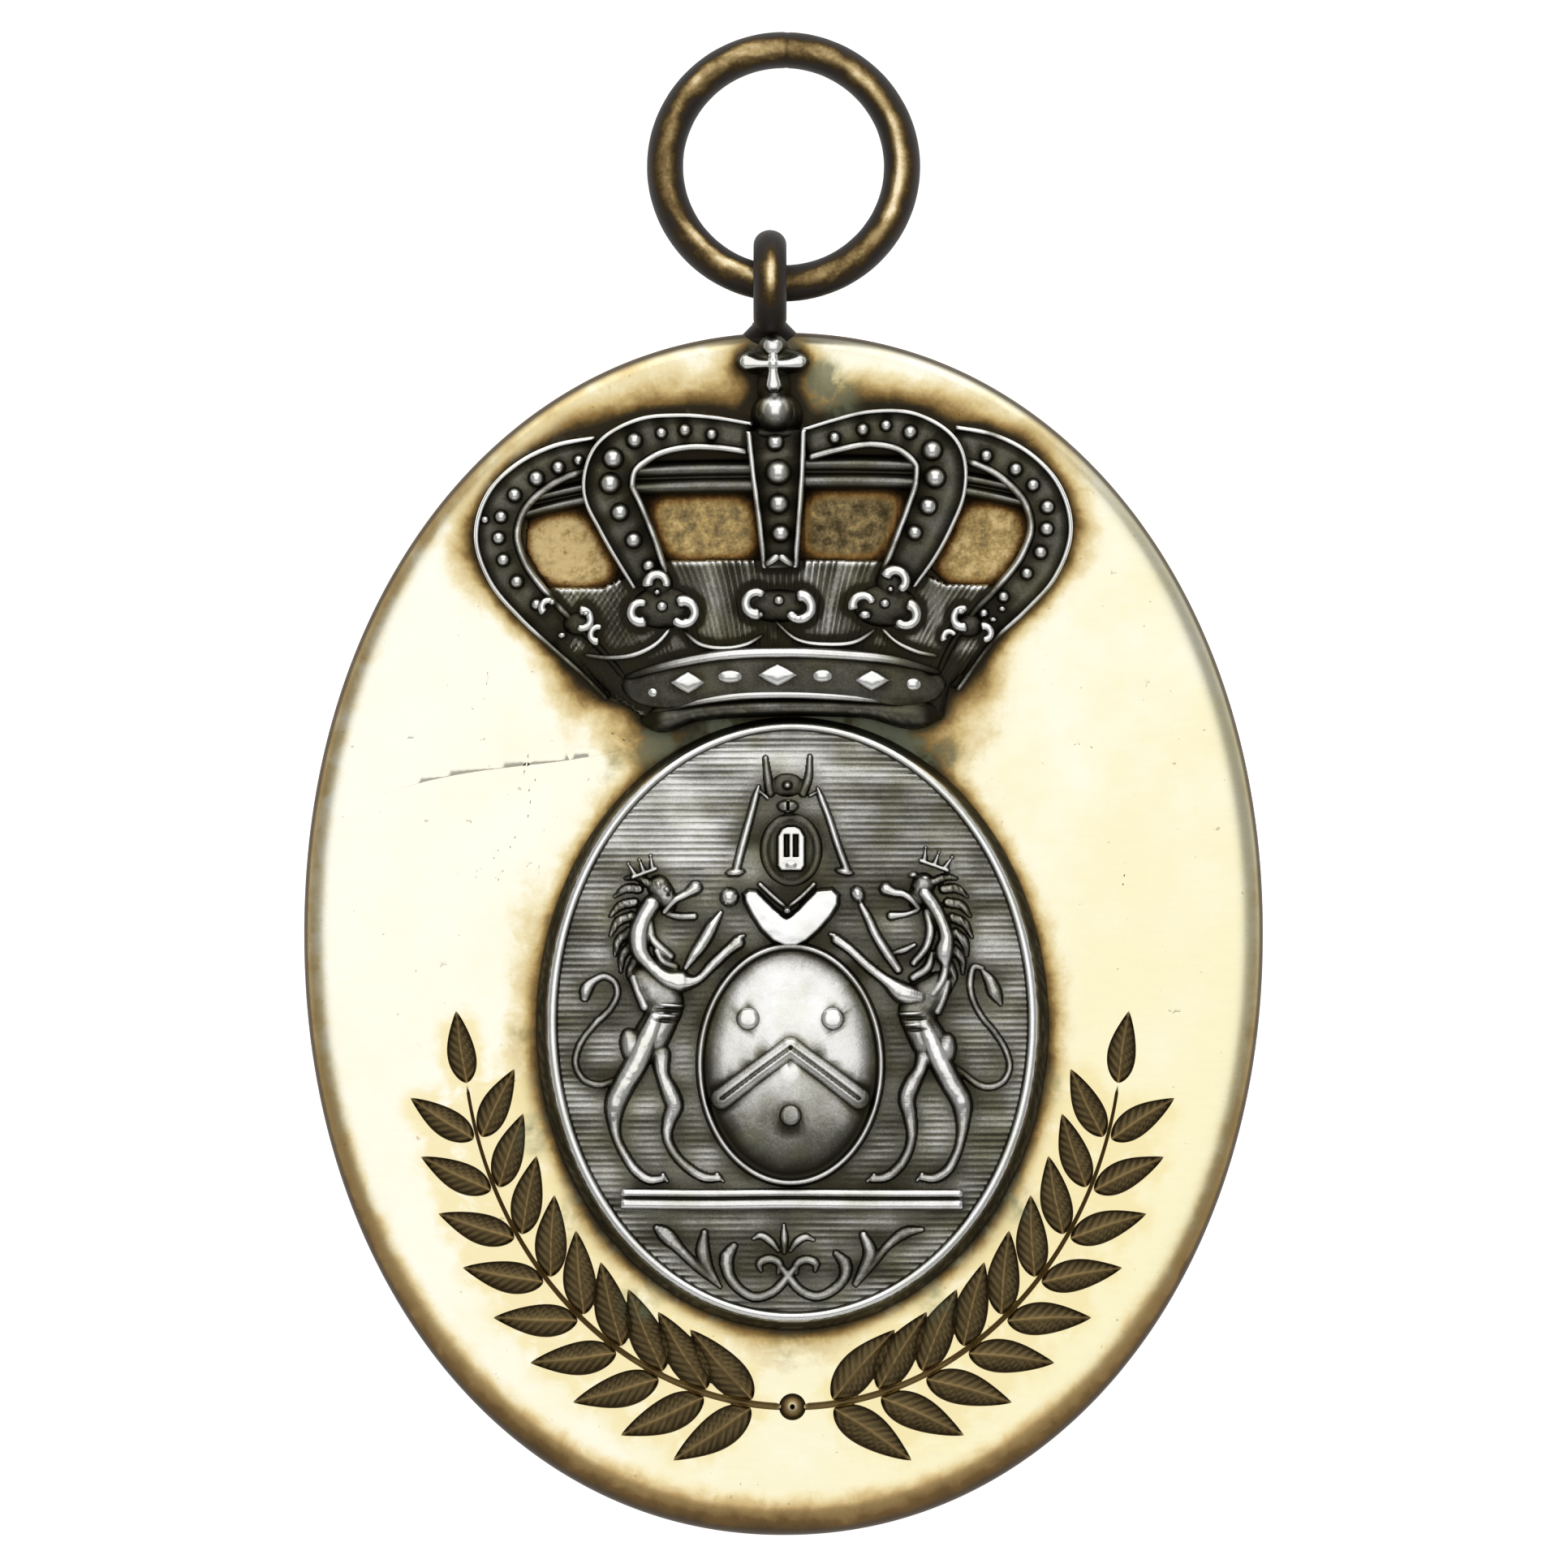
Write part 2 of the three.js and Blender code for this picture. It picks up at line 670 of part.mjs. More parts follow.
const staff = table(rowNames, [
  [-3.6, 2.5, 0.3, 4.2], [-3.35, 4.2, 0.42, 4.2], [-2.6, 6.8, 0.28, 4.0], [-1.6, 9.7, 0.3, 4.0],
]);

function flip(row) {
  return { ...row, x: 2 * mirrorX - row.x };
}

function supporter(mirrored) {
  const place = (rows) => (mirrored ? rows.map(flip) : rows);
  return join([
    ...lionLimbs.map((rows) => limb(place(rows), figureFloor)),
    line(place(lionTail), figureFloor, 5),
    line(place(staff), figureFloor, 5),
    ...place(lionLocks).map((row) => dome(row, figureFloor, 6)),
  ]);
}

// Helmet over a gorget, with a coronet above it
const gorgetHalf = table(rowNames, [
  [-2.0, 2.3, 0.75, 4.3],
  [-1.2, 1.1, 1.15, 4.5],
  [0.35, 0.3, 1.25, 4.6],
]);
const helmetParts = table(['x', 'y', 'half', 'top', 'stretch'], [
  [0.5, 5.3, 2.5, 4.5, 0.86],
  [0.6, 5.7, 1.5, 4.8, 0.68],
  [0.25, 8.65, 0.62, 4.3, 1.3],
  [0.25, 10.0, 0.45, 4.1, 1],
  [0.25, 1.65, 0.35, 4.7, 1],
]);
const coronetPoints = [
  table(rowNames, [[-0.6, 9.3, 0.35, 3.9], [-1.3, 11.2, 0.2, 3.8]]),
  table(rowNames, [[1.1, 9.3, 0.35, 3.9], [1.8, 11.3, 0.2, 3.8]]),
];

function helmet() {
  return join([
    limb(gorgetHalf, figureFloor, 6),
    limb(gorgetHalf.map(flip), figureFloor, 6),
    ...helmetParts.map((row) => dome(row, figureFloor, 8, row.stretch)),
    ...coronetPoints.map((rows) => line(rows, figureFloor, 5)),
  ]);
}

// Shield with a raised rim, a chevron and three roundels
const shieldCharge = table(rowNames, [
  [-3.6, -10.2, 0.55, shieldTop], [0.46, -7.4, 0.6, shieldTop + 0.15], [4.5, -10.2, 0.55, shieldTop],
]);
const roundels = table(rowNames, [
  [-2.3, -5.6, 0.75, shieldTop], [3.2, -5.6, 0.75, shieldTop], [0.46, -11.9, 0.75, shieldTop],
]);

function shield() {
  return join([
    ovalStack(shieldCentre, shieldLevels, shieldSides),
    line(shieldCharge, 3.4),
    ...roundels.map((row) => dome(row, 3.4, 8)),
  ]);
}

// Plinth that the lions stand on: two parallel beads
const plinthBars = table(['x0', 'x1', 'y', 'half', 'top'], [
  [-10.6, 11.7, -17.15, 0.32, 3.9],
  [-10.4, 11.3, -17.85, 0.42, 4.1],
]);

// Scrolls under the plinth, on the left of the middle and mirrored
const scrollLines = [
  table(rowNames, [
    [-0.3, -22.6, 0.3, 3.8], [-0.7, -21.8, 0.3, 3.8], [-1.6, -22.0, 0.3, 3.8],
  ]),
  table(rowNames, [
    [0.3, -22.9, 0.3, 3.9], [-0.9, -23.9, 0.35, 3.9], [-2.3, -23.9, 0.35, 3.9],
    [-3.4, -22.8, 0.35, 3.9], [-3.4, -21.4, 0.4, 3.9], [-2.8, -20.9, 0.3, 3.9],
  ]),
  table(rowNames, [[-3.9, -23.2, 0.3, 3.8], [-5.0, -21.7, 0.4, 3.9], [-5.2, -19.9, 0.4, 3.8]]),
  table(rowNames, [[-4.4, -22.9, 0.25, 3.8], [-6.2, -21.2, 0.35, 3.9], [-8.2, -19.7, 0.5, 3.8]]),
  table(rowNames, [[0.2, -21.0, 0.25, 3.8], [-0.6, -20.2, 0.35, 3.9], [-1.7, -20.0, 0.35, 3.8]]),
];
const scrollMiddle = table(rowNames, [[0.2, -21.2, 0.3, 3.9], [0.1, -19.2, 0.35, 3.8]]);
const scrollMirror = 0.3;

function base() {
  const bars = plinthBars.map(({ x0, x1, y, half, top }) => (
    limb([{ x: x0, y, half, top }, { x: x1, y, half, top }], figureFloor, 8)
  ));
  const curls = scrollLines.flatMap((rows) => {
    const other = rows.map((row) => ({ ...row, x: 2 * scrollMirror - row.x }));
    return [line(rows, figureFloor, 5), line(other, figureFloor, 5)];
  });
  return join([...bars, ...curls, line(scrollMiddle, figureFloor, 5)]);
}

function medallion() {
  return join([
    ovalStack(medallionCentre, medallionLevels, medallionSides),
    supporter(false),
    supporter(true),
    helmet(),
    shield(),
    base(),
    posts(medallionPosts),
  ]);
}

// Ring

// The ring is modelled lying out flat from the eye; its far side then droops to the surface.
function ring() {
  const geometry = new THREE.TorusGeometry(ringRadius, ringWire / 2, ringSides, ringSteps);
  geometry.translate(0, ringRadius, 0);
  return geometry;
}

const ringDroop = Math.asin((eyeCentre.z - ringWire / 2) / (2 * ringRadius));

// Assembly

const gilt = { color: 0xd9c48a, metalness: 1, roughness: 0.3 };
const silver = { color: 0x8d8a80, metalness: 1, roughness: 0.4 };
const bronze = { color: 0x6f5230, metalness: 1, roughness: 0.4 };

function piece(name, geometry, finish) {
  const mesh = new THREE.Mesh(geometry, new THREE.MeshStandardMaterial(finish));
  mesh.name = name;
  return mesh;
}

const badge = new THREE.Group();
badge.add(piece('plate', toGeometry(plate()), gilt));
badge.add(piece('crown', toGeometry(crown()), silver));
badge.add(piece('medallion', toGeometry(medallion()), silver));

const ringPiece = piece('ring', ring(), bronze);
ringPiece.position.set(0, eyeCentre.y, eyeCentre.z);
ringPiece.rotation.x = -ringDroop;
badge.add(ringPiece);

export default badge;
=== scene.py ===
# Oval office badge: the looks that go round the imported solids.
# Tables are in millimetres from the middle of the plate's back, +Y up the badge, +Z out of its face.
import math
import bpy
import numpy as np
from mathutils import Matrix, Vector
from mathutils.geometry import delaunay_2d_cdt


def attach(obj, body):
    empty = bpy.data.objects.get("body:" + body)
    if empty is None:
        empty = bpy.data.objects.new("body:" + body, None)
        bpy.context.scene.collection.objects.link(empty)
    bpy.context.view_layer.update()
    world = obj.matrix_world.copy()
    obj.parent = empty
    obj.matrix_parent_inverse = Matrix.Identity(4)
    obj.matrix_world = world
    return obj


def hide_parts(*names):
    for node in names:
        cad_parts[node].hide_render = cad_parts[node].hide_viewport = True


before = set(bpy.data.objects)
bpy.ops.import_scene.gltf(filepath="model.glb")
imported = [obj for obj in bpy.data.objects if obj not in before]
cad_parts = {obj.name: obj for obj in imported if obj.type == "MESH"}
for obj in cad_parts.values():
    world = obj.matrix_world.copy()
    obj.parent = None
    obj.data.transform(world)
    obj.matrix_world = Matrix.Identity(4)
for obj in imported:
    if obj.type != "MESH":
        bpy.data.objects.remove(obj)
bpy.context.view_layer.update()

mm = 0.001
print("badge: frame loaded")


# Shapes are (points, faces): points in millimetres, faces a list of arrays of corner numbers

def gridFaces(rows, columns, wrap=False):
    i = np.arange(rows - 1)[:, None]
    j = np.arange(columns if wrap else columns - 1)[None, :]
    a = i * columns + j
    b = i * columns + (j + 1) % columns
    return np.stack([a, b, b + columns, a + columns], -1).reshape(-1, 4)


# angles of the sides round a whole turn
def roundTurn(sides):
    return np.arange(sides) * 2 * math.pi / sides


# x and y round an oval; fullness over 2 swells it towards its corners
def ovalRing(halfX, halfY, sides, fullness=2.0, centre=(0, 0)):
    c, s = np.cos(roundTurn(sides)), np.sin(roundTurn(sides))
    power = 2 / fullness
    return np.stack([centre[0] + halfX * np.sign(c) * np.abs(c) ** power,
                     centre[1] + halfY * np.sign(s) * np.abs(s) ** power], -1)


# rows of x and y, all lifted to one height
def lifted(places, z):
    return np.column_stack([places, np.full(len(places), z)])


def joined(shapes):
    points, faces, shift = [], [], 0
    for shapePoints, shapeFaces in shapes:
        points.append(shapePoints)
        faces += [face + shift for face in shapeFaces]
        shift += len(shapePoints)
    return np.vstack(points), faces


# turns a closed shape's faces outwards
def outward(shape):
    points, faces = shape
    volume = 0.0
    for group in faces:
        a = points[group[:, 0]]
        for k in range(1, group.shape[1] - 1):
            b, c = points[group[:, k]], points[group[:, k + 1]]
            volume += np.einsum("ij,ij->", a, np.cross(b, c))
    if volume < 0:
        faces = [group[:, ::-1] for group in faces]
    return points, faces


# closed solid between rings of points, all with the same number of points
def loft(rings):
    rings = np.asarray(rings, float)
    count, sides = rings.shape[:2]
    ends = [np.arange(sides)[None, ::-1], (count - 1) * sides + np.arange(sides)[None, :]]
    return outward((rings.reshape(-1, 3), [gridFaces(count, sides, wrap=True)] + ends))


# rows of numbers run evenly along a smooth curve; the first two columns are x and y
def smoothRows(rows, steps):
    p = np.array(rows, float)
    span = np.hypot(*np.diff(p[:, :2], axis=0).T)
    s = np.concatenate([[0], np.cumsum(span)])
    slope = np.gradient(p, s, axis=0)
    t = np.linspace(0, s[-1], steps)
    i = np.clip(np.searchsorted(s, t, side="right") - 1, 0, len(p) - 2)
    h = (s[i + 1] - s[i])[:, None]
    u = (t - s[i])[:, None] / h
    return ((2 * u**3 - 3 * u**2 + 1) * p[i] + (u**3 - 2 * u**2 + u) * h * slope[i]
            + (3 * u**2 - 2 * u**3) * p[i + 1] + (u**3 - u**2) * h * slope[i + 1])


# unit vectors pointing to the right of a path
def sideways(path):
    along = np.gradient(path[:, :2], axis=0)
    along /= np.hypot(along[:, 0], along[:, 1])[:, None]
    return np.stack([along[:, 1], -along[:, 0]], -1)


# section is a function of (half, top) that gives rows of (across, z)
def sweep(rows, section, steps):
    path = smoothRows(rows, steps)
    return loft([[(x + sx * a, y + sy * a, z) for a, z in section(half, top)]
                 for (x, y, half, top), (sx, sy) in zip(path, sideways(path))])


# round wire through rows of x, y, z, radius, with rounded ends
def wire(rows, steps, sides):
    path = smoothRows(rows, steps)
    ends = np.minimum(np.arange(steps), np.arange(steps)[::-1]) / 2.0
    taper = np.sqrt(1 - np.clip(1 - ends, 0, 0.97) ** 2)
    turn = roundTurn(sides)
    rings = []
    for (x, y, z, r), (sx, sy), k in zip(path, sideways(path), taper):
        a = np.cos(turn) * r * k
        rings.append(np.stack([x + sx * a, y + sy * a, z + np.sin(turn) * r * k], -1))
    return loft(rings)


# raised boss with an oval or lozenge outline
def boss(x, y, halfX, halfY, floor, top, corners=0, sides=36, rings=12, power=0.5):
    c, s = np.cos(roundTurn(sides)), np.sin(roundTurn(sides))
    reach = 1.05 / (np.abs(c) + np.abs(s)) ** 0.75 if corners else np.ones(sides)
    out = np.sin(np.linspace(math.pi / 2, 0.04, rings))
    levels = [(1.0, floor - 0.3)] + [(r, floor + (top - floor) * (1 - r * r) ** power) for r in out]
    return loft([np.stack([x + halfX * c * reach * r, y + halfY * s * reach * r, np.full(sides, z)], -1)
                 for r, z in levels])


# smooth hills and hollows from -0.5 to 0.5; each seed has a grid of its own, which repeats after 64 cells
def softNoise(x, y, size, seed):
    cells = 64
    grid = np.random.default_rng(seed).random((cells, cells))
    u, v = np.asarray(x) / size + 31.7, np.asarray(y) / size + 17.3
    i, j = np.floor(u).astype(int), np.floor(v).astype(int)
    a, b = u - i, v - j
    a, b = a * a * (3 - 2 * a), b * b * (3 - 2 * b)
    at = lambda di, dj: grid[(i + di) % cells, (j + dj) % cells]
    low = at(0, 0) * (1 - a) + at(1, 0) * a
    high = at(0, 1) * (1 - a) + at(1, 1) * a
    return low * (1 - b) + high * b - 0.5


# Heights of relief over a grid

# rounded ridge through rows of x, y, half, top; it falls under the floor outside its outline
def ridge(gx, gy, rows, floor, power=0.5, steps=0):
    path = smoothRows(rows, steps) if steps else np.array(rows, float)
    best = np.full(gx.shape, floor - 2.0)
    for (x0, y0, r0, t0), (x1, y1, r1, t1) in zip(path, path[1:]):
        reach = max(r0, r1) * 1.5
        near = ((gx > min(x0, x1) - reach) & (gx < max(x0, x1) + reach)
                & (gy > min(y0, y1) - reach) & (gy < max(y0, y1) + reach))
        px, py = gx[near] - x0, gy[near] - y0
        dx, dy = x1 - x0, y1 - y0
        t = np.clip((px * dx + py * dy) / max(dx * dx + dy * dy, 1e-9), 0, 1)
        d = np.hypot(px - t * dx, py - t * dy)
        q = 1 - (d / (r0 + (r1 - r0) * t)) ** 2.5
        top = t0 + (t1 - t0) * t
        z = floor + (top - floor) * np.sign(q) * np.abs(q) ** power
        best[near] = np.maximum(best[near], z)
    return best


# low dome with an oval outline; it falls under the floor outside it
def mound(gx, gy, x, y, halfX, halfY, top, floor, power=0.7, turn=0.0):
    c, s = math.cos(turn), math.sin(turn)
    u = ((gx - x) * c + (gy - y) * s) / halfX
    v = ((gy - y) * c - (gx - x) * s) / halfY
    q = np.maximum(1 - u * u - v * v, -2)
    return floor + (top - floor) * np.sign(q) * np.abs(q) ** power


# the highest of several heights, with the creases between them softened
def blendMax(heights, soft):
    whole = heights[0]
    for height in heights[1:]:
        whole = soft * np.logaddexp(whole / soft, height / soft)
    return whole


def gridOver(box, stepX, stepY):
    return np.meshgrid(np.arange(box[0], box[1], stepX), np.arange(box[2], box[3], stepY))


# closed patch between a surface over a grid and a flat underside, where keep is true
def patchFrom(gx, gy, z, keep, bottomZ):
    cell = keep[:-1, :-1] & keep[1:, :-1] & keep[:-1, 1:] & keep[1:, 1:]
    used = np.zeros(z.shape, bool)
    for di in (0, 1):
        for dj in (0, 1):
            used[di:used.shape[0] - 1 + di, dj:used.shape[1] - 1 + dj] |= cell
    number = np.cumsum(used.ravel()).reshape(z.shape) - 1
    count = int(used.sum())
    i, j = np.nonzero(cell)
    quads = np.stack([number[i, j], number[i, j + 1], number[i + 1, j + 1], number[i + 1, j]], -1)
    edges = np.concatenate([quads[:, [k, (k + 1) % 4]] for k in range(4)]).astype(np.int64)
    key, back = edges[:, 0] * count + edges[:, 1], edges[:, 1] * count + edges[:, 0]
    rim = edges[~np.isin(key, back)]
    walls = np.stack([rim[:, 1], rim[:, 0], rim[:, 0] + count, rim[:, 1] + count], -1)
    places = np.stack([gx[used], gy[used]], -1)
    top = np.column_stack([places, z[used]])
    return np.vstack([top, lifted(places, bottomZ)]), [quads, quads[:, ::-1] + count, walls]


# relief where it rises over base, given as a function of x and y
def reliefPatch(height, box, step, base):
    gx, gy = gridOver(box, step, step)
    z = height(gx, gy)
    return patchFrom(gx, gy, z, z > base, base - 0.12)


# The plate, with its engraved branches and its rounded edge

plateLook = dict(
    halfX=31.9, halfY=40.0, fullness=2.07, sides=480, top=2.0, flatX=29.6, flatY=37.7, spacing=0.55,
    # inset, z
    edge=[(0.35, 0.0), (0.1, 0.1), (0.0, 0.35), (0.0, 0.62), (0.01, 0.9), (0.07, 1.13), (0.2, 1.34),
          (0.42, 1.54), (0.72, 1.71), (1.08, 1.84), (1.48, 1.94), (1.9, 2.0)],
)
posts = dict(radius=0.8, hole=1.1, recess=0.2, holeTop=1.96, top=2.3, sides=32,
             crown=[(-6.6, 16.9), (5.8, 17.0), (-0.45, 33.4)], medallion=[(0.59, 5.2), (0.59, -17.5)])
# bloomed: how many of the cuts, in the order they are made, have tarnish round them
branches = dict(
    centre=(0.59, -6.02), halfX=21.9, halfY=25.4, depth=0.35, pairs=9, length=6.2, half=1.22, first=0.11, last=1.4,
    spread=0.72, start=0.45, stem=0.2, stemDepth=0.26, shrink=0.22, berry=0.9, bloomed=38,
)
# nicks and scratches in the face: x, y, turn in degrees, length, width
nicks = [
    (-18.6, 10.9, 12, 17.0, 0.05), (-12.9, 15.9, -28, 0.9, 0.16), (-11.0, 13.1, -28, 1.2, 0.2),
    (-17.1, 11.3, 78, 1.5, 0.15), (-16.7, 9.9, 60, 1.1, 0.17), (-16.9, 8.3, 82, 1.3, 0.15),
    (-18.0, 6.1, 66, 1.0, 0.15), (-19.1, 5.3, 62, 0.8, 0.13), (-18.8, 3.9, 66, 0.9, 0.13),
    (-16.9, 4.6, 40, 0.5, 0.12), (-20.4, 4.0, 80, 0.6, 0.12), (-19.7, 17.0, 85, 1.0, 0.1),
    (22.6, 3.6, 80, 0.8, 0.26), (19.5, 12.6, 10, 0.4, 0.2), (-11.6, 36.4, 70, 0.4, 0.12),
    (11.8, 34.6, 40, 0.45, 0.2), (-22.6, -2.1, 20, 0.5, 0.12), (26.1, -5.2, 15, 0.6, 0.1),
    (14.3, -2.3, 75, 0.5, 0.1), (-24.8, 13.0, 5, 0.5, 0.08), (24.2, 16.6, 50, 0.5, 0.1),
]


# place and direction on one of the two stems, which part at the bottom
def stemPoint(turn, side):
    angle = -math.pi / 2 + side * turn
    c, s = math.cos(angle), math.sin(angle)
    x = branches["centre"][0] + branches["halfX"] * c
    y = branches["centre"][1] + branches["halfY"] * s
    return x, y, math.atan2(side * branches["halfY"] * c, -side * branches["halfX"] * s)


# Every cut is (points, faces, outline numbers); outlines are shared with the face around them.

# columns of points run from the leaf's base to its tip, rows across from one edge to the other
def leafCut(x, y, way, scale):
    along = 44
    u = (1 - np.cos(np.linspace(0, math.pi, along))) / 2
    across = np.array([-1, -0.9, -0.75, -0.56, -0.36, -0.16, -0.07, 0, 0.07, 0.16, 0.36, 0.56, 0.75, 0.9, 1])
    half = branches["half"] * scale * np.sin(math.pi * u ** 0.7) ** 0.85
    half[[0, -1]] = 0
    uu, vv = np.meshgrid(u, across)
    forward = uu * (branches["length"] * scale)
    curve = 0.25 * scale * np.sin(math.pi * uu) ** 2 * 0.35
    side = vv * half + curve
    wall = np.clip((1 - np.abs(vv)) / 0.1, 0, 1)
    vein = np.sin((forward - np.abs(side) * 1.1) * 2 * math.pi / 0.62)
    rib = np.exp(-(vv * half / 0.13) ** 2)
    floor = -branches["depth"] * (0.84 + 0.28 * vv**2) + 0.16 * rib * (1 - uu) ** 0.5
    floor = floor + 0.05 * vein * (1 - rib) * (np.abs(vv) < 0.8)
    z = plateLook["top"] + floor * wall * np.clip(half / 0.25, 0, 1)
    c, s = math.cos(way), math.sin(way)
    points = np.stack([x + c * forward - s * side, y + s * forward + c * side, z], -1)
    rows = len(across)
    number = np.arange(rows * along)
    number[np.arange(rows) * along] = 0                        # one point at the base
    number[np.arange(rows) * along + along - 1] = along - 1    # and one at the tip
    outline = np.concatenate([np.arange(along), (rows - 1) * along + np.arange(along - 2, 0, -1)])
    return points.reshape(-1, 3), number[gridFaces(rows, along)], outline


def stemCut(side):
    b, steps = branches, 90
    turns = np.linspace(b["first"] - 0.075, b["last"] + 0.006, steps)
    stem = np.array([stemPoint(turn, side) for turn in turns])
    normal = np.stack([-np.sin(stem[:, 2]), np.cos(stem[:, 2])], -1)
    thin = b["stem"] * np.clip(np.linspace(1.25, 0.55, steps), 0, 1.2)
    thin[[0, -1]] *= 0.4
    points = np.vstack([lifted(stem[:, :2] + normal * (thin * a)[:, None], plateLook["top"] + b["stemDepth"] * drop)
                        for a, drop in ((-1, 0), (-0.55, -0.8), (0, -1), (0.55, -0.8), (1, 0))])
    starts = np.arange(5) * steps
    points[starts, 2] = points[starts + steps - 1, 2] = plateLook["top"]
    outline = np.concatenate([np.arange(steps), starts[1:] + steps - 1,
                              starts[4] + np.arange(steps - 2, -1, -1), starts[3:0:-1]])
    return points, gridFaces(5, steps), outline


def berryCut():
    x, y, way = stemPoint(0, 1)
    sides, radius, depth = 28, branches["berry"], branches["depth"]
    rings = [lifted(ovalRing(radius * r, radius * r, sides, centre=(x, y)), plateLook["top"] + depth * drop)
             for r, drop in ((1, 0), (0.93, -1), (0.8, -0.9), (0.62, -0.55), (0.42, -0.3), (0.2, -0.2))]
    fan = (len(rings) - 1) * sides + np.arange(sides)
    cap = np.stack([fan[:-2], fan[1:-1], np.full(sides - 2, fan[-1]), np.full(sides - 2, fan[-1])], -1)
    return np.vstack(rings), np.vstack([gridFaces(len(rings), sides, wrap=True), cap]), np.arange(sides)


def nickCut(x, y, turn, length, width):
    steps = max(6, int(length / 0.5))
    u = np.linspace(0, 1, steps)
    half = width * 0.3 * np.sin(math.pi * u) ** 0.6
    sway = 0.02 * length * np.sin(u * 5.0 + x)
    c, s = math.cos(math.radians(turn)), math.sin(math.radians(turn))
    f, rows = (u - 0.5) * length, []
    for a, drop in ((-1, 0), (0, -0.012), (1, 0)):
        g = sway + a * half
        rows.append(np.stack([x + c * f - s * g, y + s * f + c * g, np.full(steps, plateLook["top"] + drop)], -1))
    points, last = np.vstack(rows), 2 * steps - 1
    points[[steps, last], 2] = plateLook["top"]
    number = np.arange(3 * steps)
    number[[0, 2 * steps]] = steps
    number[[steps - 1, 3 * steps - 1]] = last
    outline = np.concatenate([[steps], np.arange(1, steps - 1), [last], 2 * steps + np.arange(steps - 2, 0, -1)])
    return points, number[gridFaces(3, steps)], outline


def plateCuts():
    b, cuts = branches, []
    for side in (-1, 1):
        for i in range(b["pairs"] + 1):
            x, y, way = stemPoint(b["first"] + (b["last"] - b["first"]) * i / b["pairs"], side)
            scale = 1 - b["shrink"] * i / b["pairs"]
            # a pair of leaves, and a single one at the tip
            for leafWay in (way + b["spread"], way - b["spread"]) if i < b["pairs"] else (way,):
                foot = (x + math.cos(leafWay) * b["start"], y + math.sin(leafWay) * b["start"])
                cuts.append(leafCut(*foot, leafWay, scale))
        cuts.append(stemCut(side))
    return cuts + [berryCut()] + [nickCut(*nick) for nick in nicks]


# fills the plane between an outer outline and inner ones, all given as numbers of points
def fillFlat(points, outer, holes, extra=()):
    flat = [tuple(points[k, :2]) for k in outer]
    numbers = list(outer)
    edges = [(i, (i + 1) % len(outer)) for i in range(len(outer))]
    for hole in holes:
        shift = len(flat)
        flat += [tuple(points[k, :2]) for k in hole]
        numbers += list(hole)
        edges += [(shift + i, shift + (i + 1) % len(hole)) for i in range(len(hole))]
    flat += [tuple(points[k, :2]) for k in extra]
    numbers += list(extra)
    _, _, triangles, original, _, _ = delaunay_2d_cdt(flat, edges, [], 0, 1e-6)
    backTo = [numbers[o[0]] if o else -1 for o in original]
    faces = np.array([[backTo[k] for k in t] for t in triangles if len(t) == 3], int)
    faces = faces[(faces >= 0).all(1)]
    centre = points[faces, :2].mean(1)
    inside = insideOutline(centre, points[list(outer), :2])
    for hole in holes:
        inside &= ~insideOutline(centre, points[list(hole), :2])
    return faces[inside]


def insideOutline(places, outline):
    low, high = outline.min(0), outline.max(0)
    near = np.nonzero((places > low).all(1) & (places < high).all(1))[0]
    odd = np.zeros(len(near), bool)
    x, y = places[near, 0], places[near, 1]
    for (x0, y0), (x1, y1) in zip(outline, np.roll(outline, -1, 0)):
        if y0 != y1:
            crossing = (y0 > y) != (y1 > y)
            odd ^= crossing & (x < (x1 - x0) * (y - y0) / (y1 - y0) + x0)
    inside = np.zeros(len(places), bool)
    inside[near] = odd
    return inside


def plateShape(cuts):
    look, sides = plateLook, plateLook["sides"]
    rings = [lifted(ovalRing(look["halfX"] - inset, look["halfY"] - inset, sides, look["fullness"]), z)
             for inset, z in look["edge"]]
    points, faces, holes = [np.vstack(rings)], [gridFaces(len(rings), sides, wrap=True)], []
    shift = len(points[0])
    outer = shift - sides + np.arange(sides)
    for cutPoints, cutFaces, outline in cuts:
        points.append(cutPoints)
        faces.append(cutFaces + shift)
        holes.append(outline + shift)
        shift += len(cutPoints)
    # points spread over the flat face, clear of the cuts
    gx, gy = gridOver((-31, 31, -39, 39), look["spacing"], look["spacing"])
    gx[::2] += look["spacing"] / 2
    free = np.column_stack([gx.ravel(), gy.ravel()])
    inside = (np.abs(free / [look["flatX"], look["flatY"]]) ** look["fullness"]).sum(1) < 1
    here = np.vstack(points)
    for hole in holes:
        outline = here[hole, :2]
        inside &= ~insideOutline(free, outline + (outline - outline.mean(0)) * 0.08)
    whole = np.vstack([here, lifted(free[inside], look["top"])])
    front = fillFlat(whole, outer, holes, np.arange(shift, len(whole)))
    # plain back with its five post holes
    backHoles, n = [], posts["sides"]
    for place in posts["crown"] + posts["medallion"]:
        start = len(whole)
        ring = ovalRing(posts["hole"], posts["hole"], n, centre=place)
        whole = np.vstack([whole, lifted(ring, 0.0), lifted(ring, posts["holeTop"])])
        backHoles.append(start + np.arange(n))
        faces += [gridFaces(2, n, wrap=True) + start, (start + n + np.arange(n))[None, ::-1]]
    back = fillFlat(whole, np.arange(sides), backHoles)
    return whole, faces + [front, back[:, ::-1]]


print("badge: cutting the plate")
cuts = plateCuts()
plate = plateShape(cuts)


# The medallion: walled oval, hatched field and the relief on it

